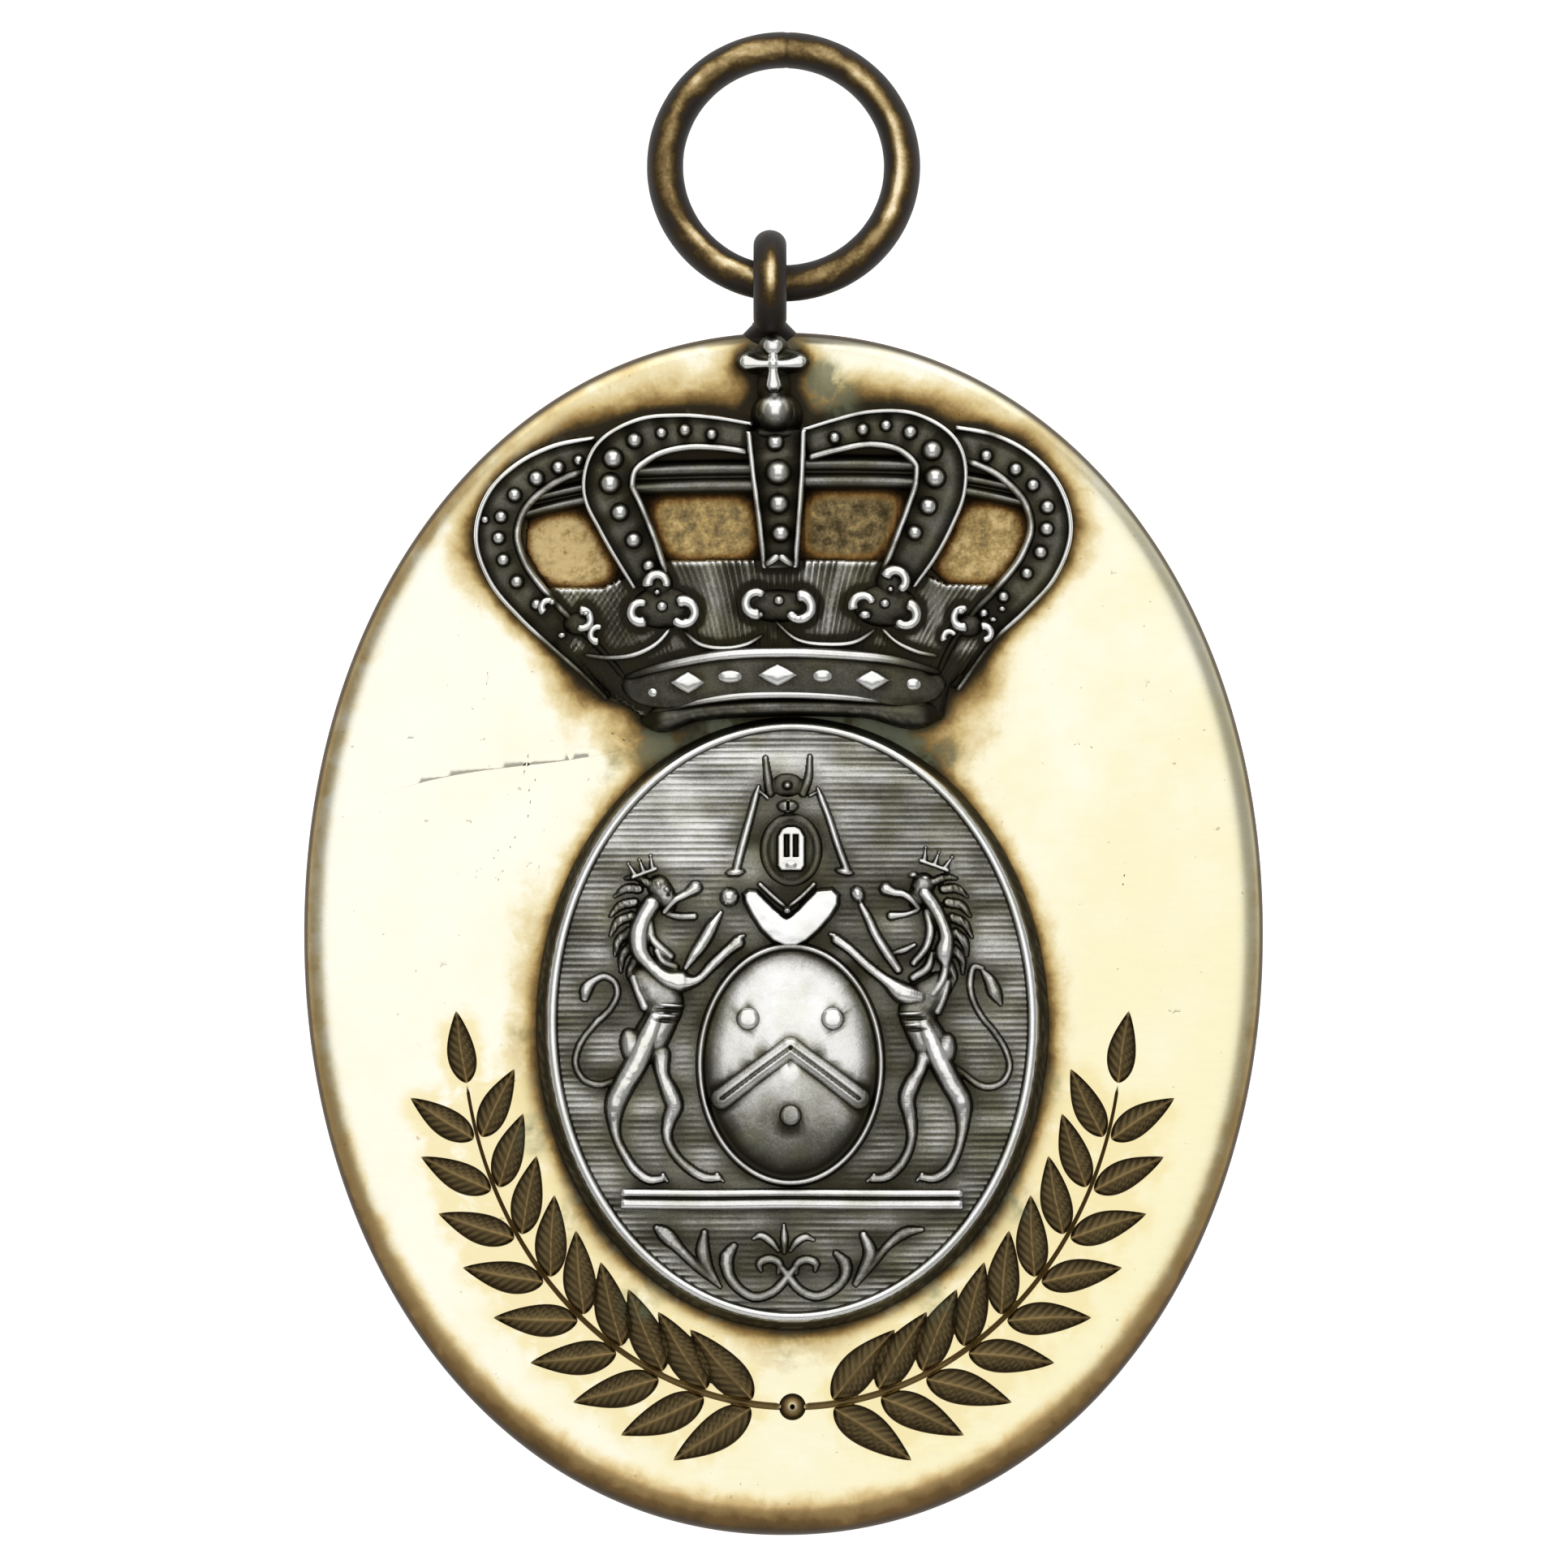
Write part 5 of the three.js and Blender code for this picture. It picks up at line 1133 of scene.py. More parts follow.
# figures are brightest where they stand highest
def figureRub(points, lift=0.0):
    x, y, z = points.T
    tone = np.interp(z, [3.1, 3.35, 3.65, 3.95, 4.25], [-0.05, 0.14, 0.38, 0.62, 0.88])
    return tone + 0.5 * crestOf(points) + 0.3 * softNoise(x, y, 1.5, 44) + lift


# sum of soft spots, given as rows of x, y, radius or radii, strength
def spotValues(points, spots):
    values = np.zeros(len(points))
    for x, y, *radii, strength in spots:
        values += strength * np.exp(-((points[:, 0] - x) / radii[0]) ** 2 - ((points[:, 1] - y) / radii[-1]) ** 2)
    return values


# the field is polished most at its upper left and top, with a painted sheen over the same places
polishAndSheen = [(-7.5, 7.0, 5.0, 0.3), (0.0, 12.0, 6.5, 2.6, 0.22), (8.0, 7.5, 5.0, 4.0, 0.04),
            (12.5, 0.0, 4.0, 6.0, 0.05), (0.5, -21.0, 9.0, 4.0, -0.05)]


def fieldRub(points):
    x, y, z = points.T
    level = 0.32 + spotValues(points, polishAndSheen) + 0.34 * softNoise(x * 0.35, y, 1.1, 45)
    # darker beside the figures: patina, with painted shade at their feet
    level = level - 0.34 * np.clip(figureNear[mapIndex(x, y)] * 1.7 - 0.2, 0, 1)
    hatch = 0.22 + (z - fieldZ) / medallionLook["hatch"] * 0.34
    rim = 0.62 * (z > 3.8)
    wallY, wallX, wallHigh = medallionLook["wall"]
    wall = 0.16 * (np.hypot((x - medallionLook["x"]) / wallX, (y - wallY) / wallHigh) > 1.0)
    return np.where(np.abs(z - fieldZ) < 0.25, level + np.clip(hatch, -0.4, 0.3) - 0.12,
                    silverRub(points, 0.44, 0.75, 0.5) + rim + wall)


def helmetRub(points):
    x, y, z = points.T
    gorget = np.clip(outlineDistance(x, y, helmetLook["gorget"]) / 0.45, 0, 1)
    visor = (outlineDistance(x, y, helmetLook["visor"]) > 0) & (z > 4.1)
    return silverRub(points, 0.34, 0.6, 0.4) + (0.72 + 0.35 * softNoise(x, y, 0.9, 43)) * gorget + 0.5 * visor


def archRub(points):
    x, y, z = points.T
    worn = 0.7 * softNoise(x, y, 2.6, 47) + 0.35 * softNoise(x, y, 0.9, 48)
    low = np.clip((22.5 - y) / 4.0, 0, 1)
    return silverRub(points, 0.32, 0.75 + 1.0 * worn, 0.35) - 0.6 * low + 0.1 * worn


def capRub(points):
    x, y, z = points.T
    lights = 0.8 * softNoise(x, y * 0.3, 1.3, 49)
    inside = np.maximum(outlineDistance(x, y, capLook["outline"]), 0)
    rub = silverRub(points, 0.36 + 0.5 * lights, 1.1, 0.8, 0.2) - 0.4 * np.exp(-inside / 0.35) * (y > 22.5)
    # dark where it runs out beside the circlet
    rub = rub - 1.1 * np.clip((19.0 - y) / 1.8, 0, 1) * np.clip((np.abs(x + 0.3) - 8.6) / 1.2, 0, 1)
    # two soft painted highlights along each far bar, on the tops of its rods
    return np.where(y > 26.0, np.interp(z - farTop(x), [-0.5, -0.2, 0.05], [0.08, 0.2, 0.48]), rub)


# painted highlight: one round light on the orb, a little over its middle
def orbHighlightRub(points):
    x, y = points[:, 0] - orbLook["x"], points[:, 1] - orbLook["y"]
    light = np.interp(np.hypot(x + 0.1, y - 0.45), [0.3, 0.6, 1.15, 1.6], [1.15, 0.76, 0.5, 0.32])
    return np.where(np.hypot(x, y) < 1.3, light, silverRub(points, 0.25, 0.4, 0.3))


# painted light: the shield fades from bright at its top to dark at its foot, and darkens towards the edge of its dome
def shieldLitRub(points):
    x, y = points[:, 0] - shieldLook["x"], points[:, 1]
    away = np.hypot(x / 5.6, (y - shieldLook["y"]) / 7.4)
    level = np.interp(y, [-17, -14.5, -12, -9.5, -6.5, -3.5, -1.5], [0.36, 0.42, 0.5, 0.66, 0.88, 0.95, 0.9])
    level = level - 0.3 * np.clip((away - 0.8) / 0.2, 0, 1) + 0.14 * softNoise(x, y, 1.6, 46)
    return np.where(away > 1.03, silverRub(points, 0.45, 0.6, 0.6), silverRub(points, level, 0.5, 0.9, 0.35))


def circletRub():
    (band, _), (mould, _) = circletParts[:2]
    ends = np.clip(np.abs(mould[:, 0] - 0.6) - 8.6, 0, 1)
    return np.concatenate([
        silverRub(band, 0.24, 0.5, 0.3), silverRub(mould, 0.3, 0.7, 0.3) - 0.7 * ends,
        domeRubAndHighlight(circletParts[2:4], -0.1, 1.0, 1.3), domeRubAndHighlight(circletParts[4:], 0.0, 0.2, 1.0)])


def leafRub():
    raised = len(curls) + len(beads)
    # the backings stay near black, as painted shade under the leaves
    return np.concatenate([domeRubAndHighlight(leafParts[:raised], -0.1, 1.0, 1.4), domeRubAndHighlight(leafParts[raised:], 0.0, 0.22, 1.0),
                           domeRubAndHighlight(trimParts, -0.1, 0.92, 1.4)])


# broad stains on the face: x, y, radius along x and y, strength
stains = [
    (-9.0, 37.2, 5.5, 3.0, 0.25), (-14.5, 34.2, 4.5, 2.6, 0.22), (4.6, 36.0, 2.6, 1.5, 0.26),
    (10.0, 35.3, 4.6, 1.3, 0.27), (15.5, 32.8, 3.2, 1.8, 0.26), (-12.6, 33.9, 2.6, 1.2, 0.22),
    (-4.8, 35.3, 3.0, 1.1, 0.2), (-18.3, 30.4, 1.8, 1.8, 0.2), (20.0, 26.0, 1.4, 4.0, 0.2),
    (-21.5, 26.5, 1.3, 4.0, 0.2), (-14.0, 17.0, 1.8, 2.2, 0.3), (13.4, 17.0, 1.8, 2.2, 0.3),
    (-1.0, 39.0, 3.0, 2.0, 0.3), (19.5, 31.0, 3.0, 3.5, 0.14), (-21.0, 25.0, 1.8, 3.5, 0.16),
    (-13.5, 14.5, 3.0, 3.5, 0.2), (13.0, 13.5, 3.2, 3.0, 0.24), (-17.6, 2.0, 1.6, 6.0, 0.2),
    (18.0, -6.0, 1.6, 7.0, 0.18), (-18.0, -9.0, 2.0, 6.0, 0.2), (-13.5, -20.5, 4.0, 4.0, 0.2),
    (14.5, -20.5, 4.0, 4.0, 0.2), (0.6, -29.0, 8.0, 3.0, 0.18), (-10.0, 12.5, 2.0, 1.6, 0.3),
    (10.0, 12.0, 2.0, 1.6, 0.3), (8.5, 37.4, 5.0, 1.8, 0.13),
]
# verdigris: x, y, radius, strength
verdigris = [
    (3.2, 35.6, 1.7, 1.3), (2.6, 37.2, 1.2, 0.9), (-8.2, 12.6, 1.5, 1.3), (-11.2, 11.2, 1.4, 0.7),
    (6.6, 13.5, 1.5, 1.6), (2.8, 14.2, 1.6, 1.6), (-4.2, 13.9, 1.6, 1.4), (8.6, 12.9, 1.7, 1.6),
    (11.5, 11.2, 1.5, 0.8), (-16.2, -13.4, 1.7, 0.8), (-14.0, -19.0, 1.6, 0.9), (-9.4, -24.2, 1.6, 0.8),
    (15.6, -17.6, 1.6, 0.8), (17.6, -10.2, 1.4, 0.7), (10.2, -24.4, 1.6, 0.7), (-17.3, -6.6, 1.1, 0.6),
    (0.6, -27.6, 1.6, 0.6),
]
# width of the brown band along the edge, tarnish and painted shade, every 30 degrees from the left round by the
# bottom, right and top
edgeShadeAndTarnish = [0.5, 0.8, 1.0, 1.0, 0.95, 0.75, 0.4, 0.2, 0.15, 0.25, 0.5, 0.55, 0.5]


def plateWear(points):
    x, y, z = points.T
    at, look = mapIndex(x, y), plateLook
    radial = (np.abs(x) / look["halfX"]) ** look["fullness"] + (np.abs(y) / look["halfY"]) ** look["fullness"]
    meanRadius = 34.0
    fromEdge = (1 - radial ** (1 / look["fullness"])) * meanRadius
    turn = np.degrees(np.arctan2(y / look["halfY"], x / look["halfX"]))
    band = np.interp(turn, np.arange(-180, 181, 30), edgeShadeAndTarnish)
    nearCrown = np.interp(y, [-12.0, -4.0, 8.0, 16.0, 30.0, 35.0], [1.2, 0.85, 0.85, 1.1, 1.1, 1.45])
    return dict(
        tarnish_and_shade=(0.9 * haloFine[at] + 0.72 * haloWide[at]) * nearCrown, broad=haloBroad[at] * nearCrown,
        cut=np.clip((look["top"] - z) / (branches["depth"] + 0.06), 0, 1) * (fromEdge > 2.2),
        near=cutNear[at], around=cutAround[at], edge=np.clip(1 - fromEdge / (0.9 + 2.0 * band), 0, 1) * band,
        line=np.exp(-(np.maximum(fromEdge, 0) / 0.4) ** 2) * np.clip((z - 0.5) / 0.4, 0, 1),
        stain=spotValues(points, stains), green=spotValues(points, verdigris),
    )


# Materials

class Finish:
    def __init__(self, name):
        self.material = bpy.data.materials.new(name)
        self.material.use_nodes = True
        self.tree = self.material.node_tree
        self.shader = self.tree.nodes["Principled BSDF"]
        self.place = self.add("TexCoord", "Object")

    # an input is linked to another node's output, or set to a number or colour of its own
    def link(self, value, socket):
        if isinstance(value, bpy.types.NodeSocket):
            self.tree.links.new(value, socket)
        elif isinstance(value, (tuple, list)) and len(value) == 3 and socket.type == "RGBA":
            socket.default_value = (*value, 1)
        else:
            socket.default_value = value

    def add(self, kind, output, inputs={}, **settings):
        node = self.tree.nodes.new("ShaderNode" + kind)
        for key, value in settings.items():
            setattr(node, key, value)
        for key, value in inputs.items():
            self.link(value, node.inputs[key])
        return node.outputs[output]

    def attribute(self, name):
        return self.add("Attribute", "Fac", attribute_name=name)

    def math(self, operation, a, b, clamp=False):
        return self.add("Math", 0, {0: a, 1: b}, operation=operation, use_clamp=clamp)

    def times(self, value, amount):
        return self.math("MULTIPLY", value, amount)

    # a value's swing to both sides of its middle
    def swing(self, value, amount, middle=0.5):
        return self.times(self.math("SUBTRACT", value, middle), amount)

    def total(self, *terms):
        whole = terms[0]
        for term in terms[1:]:
            whole = self.math("ADD", whole, term)
        return whole

    # total held between 0 and 1
    def clamped(self, *terms):
        return self.math("ADD", self.total(*terms[:-1]), terms[-1], clamp=True)

    def most(self, *values):
        whole = values[0]
        for value in values[1:]:
            whole = self.math("MAXIMUM", whole, value)
        return whole

    def spread(self, value, low, high, start=0.0, end=1.0):
        ends = {"Value": value, "From Min": low, "From Max": high, "To Min": start, "To Max": end}
        return self.add("MapRange", "Result", ends, interpolation_type="SMOOTHSTEP")

    # size in millimetres
    def noise(self, size, detail=3.0, rough=0.55, stretch=(1, 1, 1), turn=0.0, warp=0.0):
        scale = [1000 * s for s in stretch]
        place = self.add("Mapping", "Vector", {"Vector": self.place, "Scale": scale, "Rotation": (0, 0, turn)})
        return self.add("TexNoise", "Fac", {"Vector": place, "Scale": 1.0 / size, "Detail": detail,
                                            "Roughness": rough, "Distortion": warp})

    def mix(self, factor, a, b):
        return self.add("Mix", 2, {"Factor": factor, 6: a, 7: b}, data_type="RGBA")

    def ramp(self, factor, stops):
        node = self.tree.nodes.new("ShaderNodeValToRGB")
        elements = node.color_ramp.elements
        while len(elements) < len(stops):
            elements.new(0.5)
        for element, (position, colour) in zip(elements, stops):
            element.position = position
            element.color = (*colour, 1)
        self.link(factor, node.inputs["Fac"])
        return node.outputs["Color"]

    # distance in millimetres
    def bump(self, height, strength, distance, under=None):
        inputs = {"Strength": strength, "Distance": distance * mm, "Height": height}
        if under is not None:
            inputs["Normal"] = under
        return self.add("Bump", "Normal", inputs)

    # the object's own up, from 1 on level faces to 0 on walls
    def facing(self):
        return self.add("SeparateXYZ", "Z", {0: self.add("TexCoord", "Normal")})

    # place along one axis, in millimetres
    def axis(self, name):
        return self.times(self.add("SeparateXYZ", name, {0: self.place}), 1000.0)

    def finish(self, colour, roughness, normal, metallic=1.0):
        self.link(colour, self.shader.inputs["Base Color"])
        self.link(roughness, self.shader.inputs["Roughness"])
        self.link(metallic, self.shader.inputs["Metallic"])
        self.link(normal, self.shader.inputs["Normal"])
        return self.material


# blackened silver: black in the hollows, bright where hands and cloths reach it, with its walls darkened as painted
# shade
def silverFinish(name):
    f = Finish(name)
    cloud, grit = f.noise(2.2, 4, 0.6), f.noise(0.16, 3, 0.65)
    # painted shade: walls and faces turned from the sky are darkened
    wearAndShading = f.clamped(f.attribute("rub"), f.swing(f.facing(), 0.5, 0.9), f.swing(cloud, 0.3), f.swing(grit, 0.25))
    clean = f.ramp(wearAndShading, [
        (0.0, (0.028, 0.025, 0.017)), (0.2, (0.055, 0.051, 0.037)), (0.42, (0.15, 0.145, 0.12)),
        (0.62, (0.42, 0.41, 0.38)), (0.82, (0.8, 0.79, 0.77)), (1.0, (0.93, 0.925, 0.915))])
    olive = f.ramp(wearAndShading, [
        (0.0, (0.035, 0.031, 0.014)), (0.2, (0.066, 0.06, 0.032)), (0.5, (0.17, 0.165, 0.1)), (1.0, (0.8, 0.8, 0.7))])
    colour = f.mix(f.spread(f.noise(3.1, 3, 0.6), 0.4, 0.68, 0.0, 0.7), clean, olive)
    roughness = f.spread(f.total(wearAndShading, f.times(grit, 0.1)), 0.1, 0.85, 0.5, 0.26)
    normal = f.bump(grit, 0.3, 0.02, f.bump(f.noise(0.6, 3, 0.6), 0.3, 0.05))
    return f.finish(colour, roughness, normal)


# pale gilt face with brown tarnish round the mounts, in the cuts and along the lower edge, and painted shade next to
# the mounts and on the lower edge
def giltFinish(name):
    f = Finish(name)
    cut, line = f.attribute("cut"), f.attribute("line")
    cloud, fine = f.noise(7.0, 4, 0.6), f.noise(0.25, 3, 0.6)
    patch = f.noise(2.0, 4, 0.6, warp=0.4)
    polish = f.noise(0.5, 3, 0.6, stretch=(0.25, 1.6, 1), turn=0.5)
    # paler towards the upper left as painted light, over a random cloud of tone
    tone = f.total(f.times(f.axis("X"), 0.009), f.times(f.axis("Y"), -0.005), f.times(cloud, 0.9), 0.04)
    colour = f.ramp(f.spread(tone, 0.1, 0.85), [
        (0.0, (0.98, 0.95, 0.82)), (0.45, (0.955, 0.915, 0.735)), (1.0, (0.915, 0.85, 0.56))])
    # tan to brown halo round the mounts: tarnish, darkest next to them as painted shade
    warm = f.clamped(f.times(f.attribute("tarnish_and_shade"), 0.88), f.times(f.attribute("broad"), 0.5), f.attribute("stain"),
                     f.swing(patch, 0.5), f.swing(fine, 0.12), -0.2)
    haloTone = f.ramp(warm, [
        (0.0, (0.96, 0.92, 0.74)), (0.2, (0.85, 0.75, 0.48)), (0.42, (0.64, 0.48, 0.21)), (0.62, (0.35, 0.22, 0.075)),
        (0.82, (0.12, 0.078, 0.03)), (1.0, (0.045, 0.036, 0.022))])
    colour = f.mix(f.spread(warm, 0.0, 0.25), colour, haloTone)
    # yellow bloom round the cuts
    bloom = f.times(f.attribute("around"), f.spread(patch, 0.3, 0.7, 0.35, 1.9))
    colour = f.mix(f.spread(bloom, 0.03, 0.26, 0.0, 0.85), colour, (0.88, 0.76, 0.42))
    # brown band along the edge, tarnish and painted shade of the rounded edge, with a dark line at its outside that is
    # crust and painted shade
    rim = f.clamped(f.times(f.attribute("edge"), 1.1), f.swing(patch, 0.55), -0.04)
    rimShadeAndTarnish = f.ramp(rim, [
        (0.0, (0.94, 0.87, 0.6)), (0.25, (0.86, 0.72, 0.4)), (0.5, (0.6, 0.41, 0.17)), (0.75, (0.23, 0.13, 0.034)),
        (1.0, (0.1, 0.056, 0.013))])
    colour = f.mix(f.spread(rim, 0.02, 0.4), colour, rimShadeAndTarnish)
    colour = f.mix(f.spread(line, 0.25, 0.85, 0.0, 0.95), colour, (0.07, 0.048, 0.026))
    # the cuts and their margins
    colour = f.mix(f.spread(f.attribute("near"), 0.3, 0.9, 0.0, 0.6), colour, (0.3, 0.2, 0.075))
    cutTone = f.ramp(f.clamped(cut, f.swing(patch, 0.25)), [
        (0.0, (0.45, 0.33, 0.14)), (0.45, (0.3, 0.21, 0.09)), (0.68, (0.165, 0.12, 0.053)),
        (0.85, (0.07, 0.05, 0.024)), (1.0, (0.032, 0.022, 0.011))])
    colour = f.mix(f.spread(cut, 0.04, 0.3), colour, cutTone)
    # verdigris, and brown specks
    patchy = f.times(f.attribute("green"), f.spread(patch, 0.3, 0.7, 0.3, 1.5))
    green = f.spread(patchy, 0.15, 1.2, 0.0, 0.72)
    colour = f.mix(green, colour, (0.2, 0.225, 0.135))
    specks = f.spread(f.noise(0.55, 2, 0.5), 0.735, 0.77, 0.0, 0.45)
    colour = f.mix(specks, colour, (0.3, 0.2, 0.08))
    # tarnish is dull, and its crust isn't metal
    crust = f.most(f.spread(rim, 0.3, 0.9), line)
    dull = f.most(f.spread(warm, 0.1, 0.8), f.spread(cut, 0.1, 0.4), crust)
    roughness = f.total(f.spread(dull, 0.0, 1.0, 0.27, 0.55), f.swing(polish, 0.08))
    normal = f.bump(polish, 0.05, 0.02, f.bump(cloud, 0.06, 0.4))
    return f.finish(colour, roughness, normal, f.spread(f.most(f.spread(green, 0.3, 0.85), crust), 0.0, 1.0, 1.0, 0.3))


# grainy gold, cast and never polished; each opening has its own tone
def grainFinish(name):
    f = Finish(name)
    patch, grit = f.noise(0.8, 4, 0.65), f.noise(0.24, 4, 0.7)
    tone = f.clamped(f.attribute("tone"), f.swing(patch, 1.5), f.swing(grit, 0.7))
    colour = f.ramp(tone, [
        (0.0, (0.04, 0.032, 0.015)), (0.3, (0.15, 0.11, 0.05)), (0.55, (0.35, 0.26, 0.12)), (0.78, (0.6, 0.43, 0.17)),
        (1.0, (0.85, 0.66, 0.33))])
    # painted shade with tarnish, darkest beside the metal round the opening
    marginTarnishAndShade = f.total(f.attribute("marginTarnishAndShade"), f.swing(grit, 0.5), f.swing(patch, 0.4))
    shade = f.ramp(f.clamped(marginTarnishAndShade, 0.0), [
        (0.0, (0.02, 0.012, 0.006)), (0.35, (0.1, 0.05, 0.015)), (0.65, (0.34, 0.18, 0.05)), (1.0, (0.5, 0.32, 0.1))])
    return f.finish(f.mix(f.spread(marginTarnishAndShade, 0.45, 1.15), shade, colour), 0.6, f.bump(grit, 0.25, 0.04))


# brown bronzed wire, rubbed to yellow metal on top, and dark down its sides with oxide and painted shade
def bronzeFinish(name):
    f = Finish(name)
    cloud, grit = f.noise(1.8, 4, 0.6), f.noise(0.22, 3, 0.6)
    # painted shade: faces that turn from the sky go dark
    wearAndShading = f.clamped(f.attribute("rub"), f.swing(f.facing(), 1.15, 0.95), f.swing(cloud, 0.8), f.swing(grit, 0.3))
    colour = f.ramp(wearAndShading, [
        (0.0, (0.012, 0.007, 0.003)), (0.25, (0.055, 0.033, 0.012)), (0.5, (0.2, 0.135, 0.055)),
        (0.75, (0.46, 0.34, 0.16)), (1.0, (0.88, 0.75, 0.5))])
    normal = f.bump(grit, 0.3, 0.03, f.bump(cloud, 0.2, 0.15))
    return f.finish(colour, f.spread(wearAndShading, 0.1, 0.8, 0.6, 0.24), normal, f.spread(wearAndShading, 0.0, 0.4, 0.15, 1.0))


print("badge: mixing the finishes")
silver = silverFinish("black_silver")
gilt = giltFinish("pale_gilt")
grain = grainFinish("grain_gold")
bronze = bronzeFinish("brown_bronze")


# Pieces

# values are numbers for each point, which the finishes read by name
def addPiece(name, shape, finish, nodes, body="badge", values=None, sharp=None):
    points, faces = shape
    mesh = bpy.data.meshes.new(name)
    sizes = np.concatenate([np.full(len(group), group.shape[1]) for group in faces])
    corners = np.concatenate([group.ravel() for group in faces])
    mesh.vertices.add(len(points))
    mesh.vertices.foreach_set("co", (points * mm).ravel())
    mesh.loops.add(len(corners))
    mesh.loops.foreach_set("vertex_index", corners.astype(np.int32))
    mesh.polygons.add(len(sizes))
    starts = np.concatenate([[0], np.cumsum(sizes)[:-1]])
    mesh.polygons.foreach_set("loop_start", starts.astype(np.int32))
    mesh.update(calc_edges=True)
    mesh.validate()
    mesh.shade_smooth()
    if sharp:
        mesh.set_sharp_from_angle(angle=math.radians(sharp))
    for key, numbers in (values or {}).items():
        layer = mesh.attributes.new(key, "FLOAT", "POINT")
        layer.data.foreach_set("value", np.asarray(numbers, np.float32))
    mesh.materials.append(finish)
    piece = bpy.data.objects.new(name, mesh)
    bpy.context.scene.collection.objects.link(piece)
    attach(piece, body)
    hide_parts(*nodes)


print("badge: placing the pieces")
addPiece("gilt_plate", plate, gilt, ["plate"], values=plateWear(plate[0]), sharp=50)
grainWhole, grainValues = grainShape()
addPiece("opening_grain", grainWhole, grain, ["plate"], values=grainValues)

crossRub = np.interp(crownCross[0][:, 2], [2.0, 3.8, 3.95, 4.15, 4.3], [0.0, 0.12, 0.45, 0.85, 0.95])
silverPieces = [
    # name, shape, node, rub
    ("medallion_body", medallionBody, "medallion", fieldRub(medallionBody[0])),
    ("left_lion", lionLeft, "medallion", figureRub(lionLeft[0], 0.05)),
    ("right_lion", lionRight, "medallion", figureRub(lionRight[0])),
    ("helmet_and_gorget", helmet, "medallion", helmetRub(helmet[0])),
    ("oval_shield", shieldBody, "medallion", shieldLitRub(shieldBody[0])),
    ("plinth", plinth, "medallion", silverRub(plinth[0], 0.66, 0.8, 0.6)),
    ("scrolls", scrolls, "medallion", figureRub(scrolls[0], 0.08)),
    ("crown_cap", crownBody, "crown", capRub(crownBody[0])),
    ("crown_arches", crownArches, "crown", archRub(crownArches[0])),
    ("crown_circlet", crownCirclet, "crown", circletRub()),
    ("crown_pearls", crownPearls, "crown", domeRubAndHighlight(pearlParts, -0.3, 1.05, 1.8)),
    ("crown_jewels", crownJewels, "crown", domeRubAndHighlight(jewelParts, 0.2, 1.15, 1.0)),
    ("crown_leaves", crownLeaves, "crown", leafRub()),
    ("crown_orb", crownOrb, "crown", orbHighlightRub(crownOrb[0])),
    ("crown_cross", crownCross, "crown", crossRub),
]
for name, shape, node, rub in silverPieces:
    addPiece(name, shape, silver, [node], values=dict(rub=rub))


# Ring and eye

# the worn streak, with a painted highlight along it: turn round the ring, place across the wire and width in degrees,
# strength
ringWearAndHighlight = [
    (0, 98, 17, 0.75), (30, 94, 18, 0.55), (60, 90, 18, 0.45), (78, 86, 34, 0.26), (95, 84, 38, 0.3),
    (112, 80, 22, 0.35), (135, 76, 16, 0.55), (160, 84, 24, 0.2), (180, 92, 30, 0.08), (203, 100, 22, 0.25),
    (220, 104, 17, 0.7), (245, 104, 17, 0.7), (262, 98, 20, 0.4), (285, 90, 30, 0.22), (305, 88, 30, 0.25),
    (330, 94, 20, 0.5), (345, 98, 16, 0.8), (360, 98, 17, 0.75),
]
ringLook = dict(wire=1.215, radius=7.875, steps=220, sides=40, seam=88, pivotY=43.2, pivotZ=3.55)
eyeLook = dict(x=-0.9, y=43.2, z=3.55, wire=1.0, wide=1.1, hole=1.55, lower=0.92, steps=72, sides=28)


# angles along a closed wire and round it, and its faces
def wireLoop(steps, sides):
    along, around = np.meshgrid(roundTurn(steps), roundTurn(sides), indexing="ij")
    last, first = (steps - 1) * sides + np.arange(sides), np.arange(sides)
    seam = np.stack([last, np.roll(last, -1), np.roll(first, -1), first], -1)
    return along, around, np.vstack([gridFaces(steps, sides, wrap=True), seam])


def ringShape():
    look, middle = ringLook, ringLook["radius"]
    along, around, quads = wireLoop(look["steps"], look["sides"])
    seam = np.exp(-((along - math.radians(look["seam"])) * middle / 0.07) ** 2)
    radius = look["wire"] * (1 - 0.018 * np.abs(softNoise(along * 8, around * 2, 1.3, 91))
                             - 0.012 * np.abs(softNoise(along * 20, around * 5, 1.1, 92))) - 0.05 * seam
    out = middle + radius * np.cos(around)
    x, y, z = out * np.cos(along), middle + out * np.sin(along), radius * np.sin(around)
    # the ring leans down from the eye to the floor
    droop = math.asin((look["pivotZ"] - look["wire"]) / (2 * middle))
    c, s = math.cos(droop), math.sin(droop)
    points = np.stack([x, look["pivotY"] + y * c + z * s, look["pivotZ"] - y * s + z * c], -1)
    degrees = np.degrees(along)
    at, across, width, strength = np.array(ringWearAndHighlight, float).T
    offset = (np.degrees(around) - np.interp(degrees, at, across)) / np.interp(degrees, at, width)
    rub = 0.27 + np.interp(degrees, at, strength) * np.exp(-offset ** 2) - 0.2 * seam
    east, north = middle * np.cos(along), middle * np.sin(along)
    rub = rub + 0.3 * softNoise(east, north, 2.6, 93) + 0.22 * softNoise(east + 3 * np.cos(around), north, 0.7, 94)
    # its back is lifted against the painted shade of its sides, without the streak
    rub = rub + (2.25 + 0.5 * softNoise(east, north, 3.4, 95)) * np.clip(-np.sin(around), 0, 1)
    return outward((points.reshape(-1, 3), [quads])), rub.ravel()


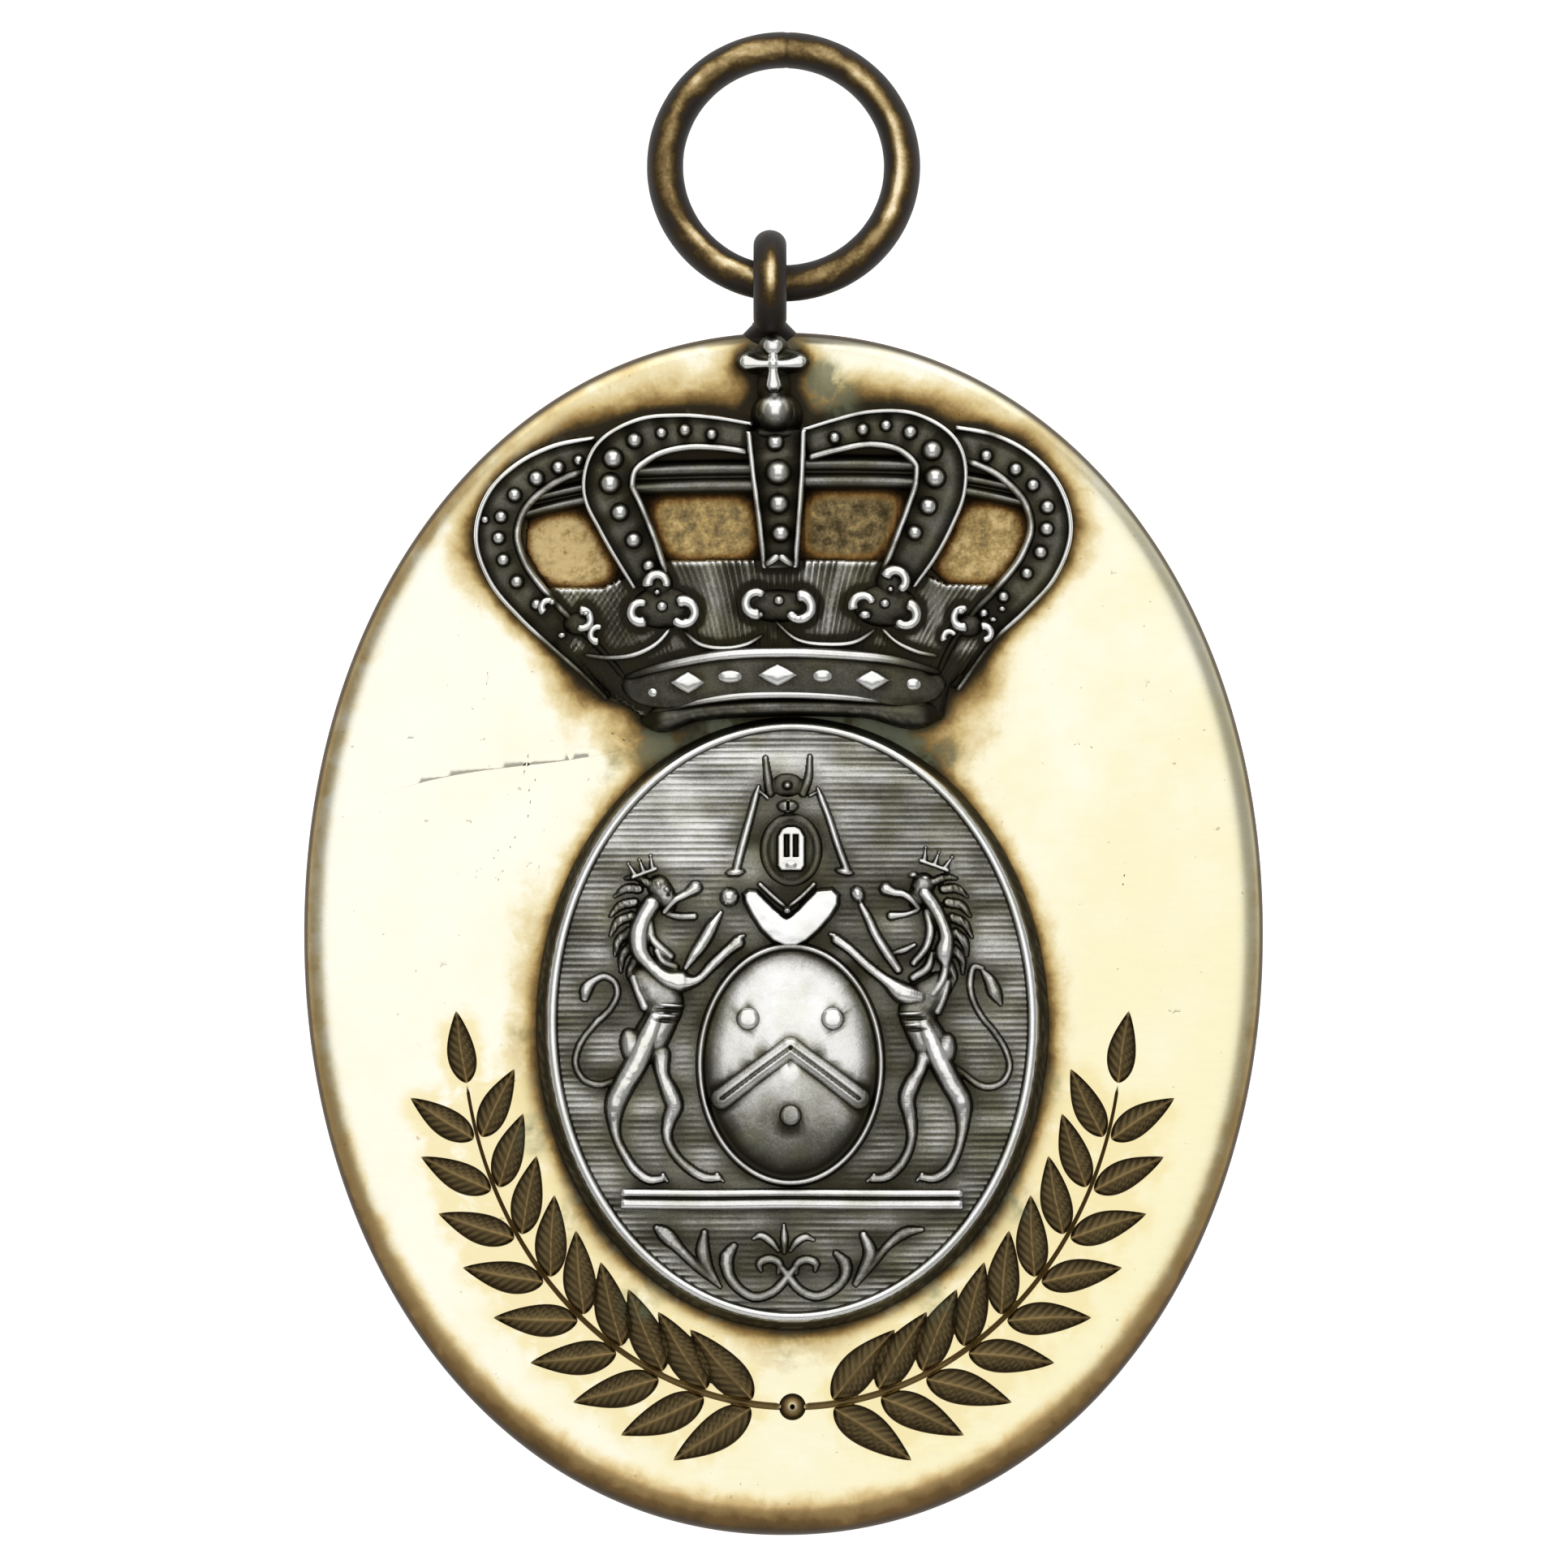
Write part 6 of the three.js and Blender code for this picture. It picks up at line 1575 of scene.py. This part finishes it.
# upright wire eye, a little flattened at its foot
def eyeShape():
    look = eyeLook
    along, around, quads = wireLoop(look["steps"], look["sides"])
    out = look["hole"] + look["wire"] + look["wire"] * np.cos(around)
    y = out * np.sin(along)
    y = np.where(y < 0, y * look["lower"], y)
    points = np.stack([look["x"] + look["wire"] * look["wide"] * np.sin(around), look["y"] + y,
                       look["z"] + out * np.cos(along)], -1).reshape(-1, 3)
    x, y = points[:, 0], points[:, 1]
    # painted highlight near the top of the eye, and painted shade towards its foot
    rub = (0.27 + 0.8 * np.exp(-((y - 43.9) / 1.5) ** 2 - ((x + 0.82) / 0.3) ** 2)
           - 0.25 * np.clip((41.8 - y) / 1.5, 0, 1))
    return outward((points, [quads])), rub


# solder that runs from the eye down onto the plate's rim and flares there
def solderHeight(gx, gy):
    foot = 0.35
    down = np.clip((41.05 - gy) / 1.5, 0, 1)
    flare = 1.0 + 1.0 * down**2 * (3 - 2 * down)
    q = 1 - ((gx - eyeLook["x"]) / flare) ** 2 - np.clip((39.55 - gy) / 1.05, 0, 1) ** 2
    z = foot + (1.95 + 0.9 * np.clip((gy - 39.6) / 1.6, 0, 1) - foot) * np.sign(q) * np.abs(q) ** 0.5
    end = np.clip((gy - 38.5) / 0.5, 0, 1) * np.clip((41.95 - gy) / 0.3, 0, 1)
    return np.where(end > 0, foot + (z - foot) * end ** 0.5, 0.0)


ring, ringRub = ringShape()
addPiece("suspension_ring", ring, bronze, ["ring"], body="ring", values=dict(rub=ringRub))
eye, eyeRubAndHighlight = eyeShape()
solder = reliefPatch(solderHeight, (-4.8, 3.0, 38.4, 42.0), 0.08, 0.4)
addPiece("eye_and_solder", joined([eye, solder]), bronze, ["plate"],
         values=dict(rub=np.concatenate([eyeRubAndHighlight, np.full(len(solder[0]), 0.05)])))


# Floor, light and camera

# metres
stageLook = dict(
    floor=1.6, under=-2e-5, worldLevel=0.33, cameraHeight=1.2, sensor=36.0, frameWidth=0.1042,
    centre=(0.00003, 0.00997),
    # name, place, size along x and y, radiance
    lamps=[("overhead", (0.0, 0.3, 1.55), 1.9, 1.7, 0.8), ("window", (0.0, 1.6, 0.85), 2.9, 1.3, 1.1),
           ("fill", (0.0, -1.5, 0.95), 2.2, 0.8, 0.42)],
)


def addFloor():
    size, z = stageLook["floor"], stageLook["under"]
    mesh = bpy.data.meshes.new("floor")
    corners = [(x * size, y * size, z) for x, y in ((-1, -1), (1, -1), (1, 1), (-1, 1))]
    mesh.from_pydata(corners, [], [(0, 1, 2, 3)])
    floor = bpy.data.objects.new("floor", mesh)
    bpy.context.scene.collection.objects.link(floor)
    f = Finish("pale_floor")
    shade = f.noise(60.0, 2, 0.5)
    f.finish(f.mix(shade, (0.93, 0.93, 0.93), (0.9, 0.9, 0.9)), 0.85, f.bump(shade, 0.01, 0.1), 0.0)
    f.shader.inputs["Emission Color"].default_value = (1, 1, 1, 1)
    f.shader.inputs["Emission Strength"].default_value = 0.8
    mesh.materials.append(f.material)


# area light that faces the middle of the plate's back
def addSoftbox(name, place, sizeX, sizeY, radiance):
    light = bpy.data.lights.new(name, "AREA")
    light.shape = "RECTANGLE"
    light.size, light.size_y = sizeX, sizeY
    light.energy = radiance * math.pi * sizeX * sizeY
    lamp = bpy.data.objects.new(name, light)
    bpy.context.scene.collection.objects.link(lamp)
    lamp.location = place
    lamp.rotation_euler = Vector(place).to_track_quat("Z", "Y").to_euler()


print("badge: setting the stage")
addFloor()
for lamp in stageLook["lamps"]:
    addSoftbox(*lamp)
world = bpy.data.worlds.new("studio")
world.use_nodes = True
world.node_tree.nodes["Background"].inputs["Color"].default_value = (1, 1, 1, 1)
world.node_tree.nodes["Background"].inputs["Strength"].default_value = stageLook["worldLevel"]
bpy.context.scene.world = world

camera = bpy.data.objects.new("camera", bpy.data.cameras.new("camera"))
bpy.context.scene.collection.objects.link(camera)
camera.data.type = "PERSP"
camera.data.sensor_width = stageLook["sensor"]
camera.data.lens = stageLook["sensor"] * (stageLook["cameraHeight"] - plateLook["top"] * mm) / stageLook["frameWidth"]
camera.data.clip_start = 0.01
camera.location = (*stageLook["centre"], stageLook["cameraHeight"])
bpy.context.scene.camera = camera
bpy.context.scene.view_settings.view_transform = "Standard"
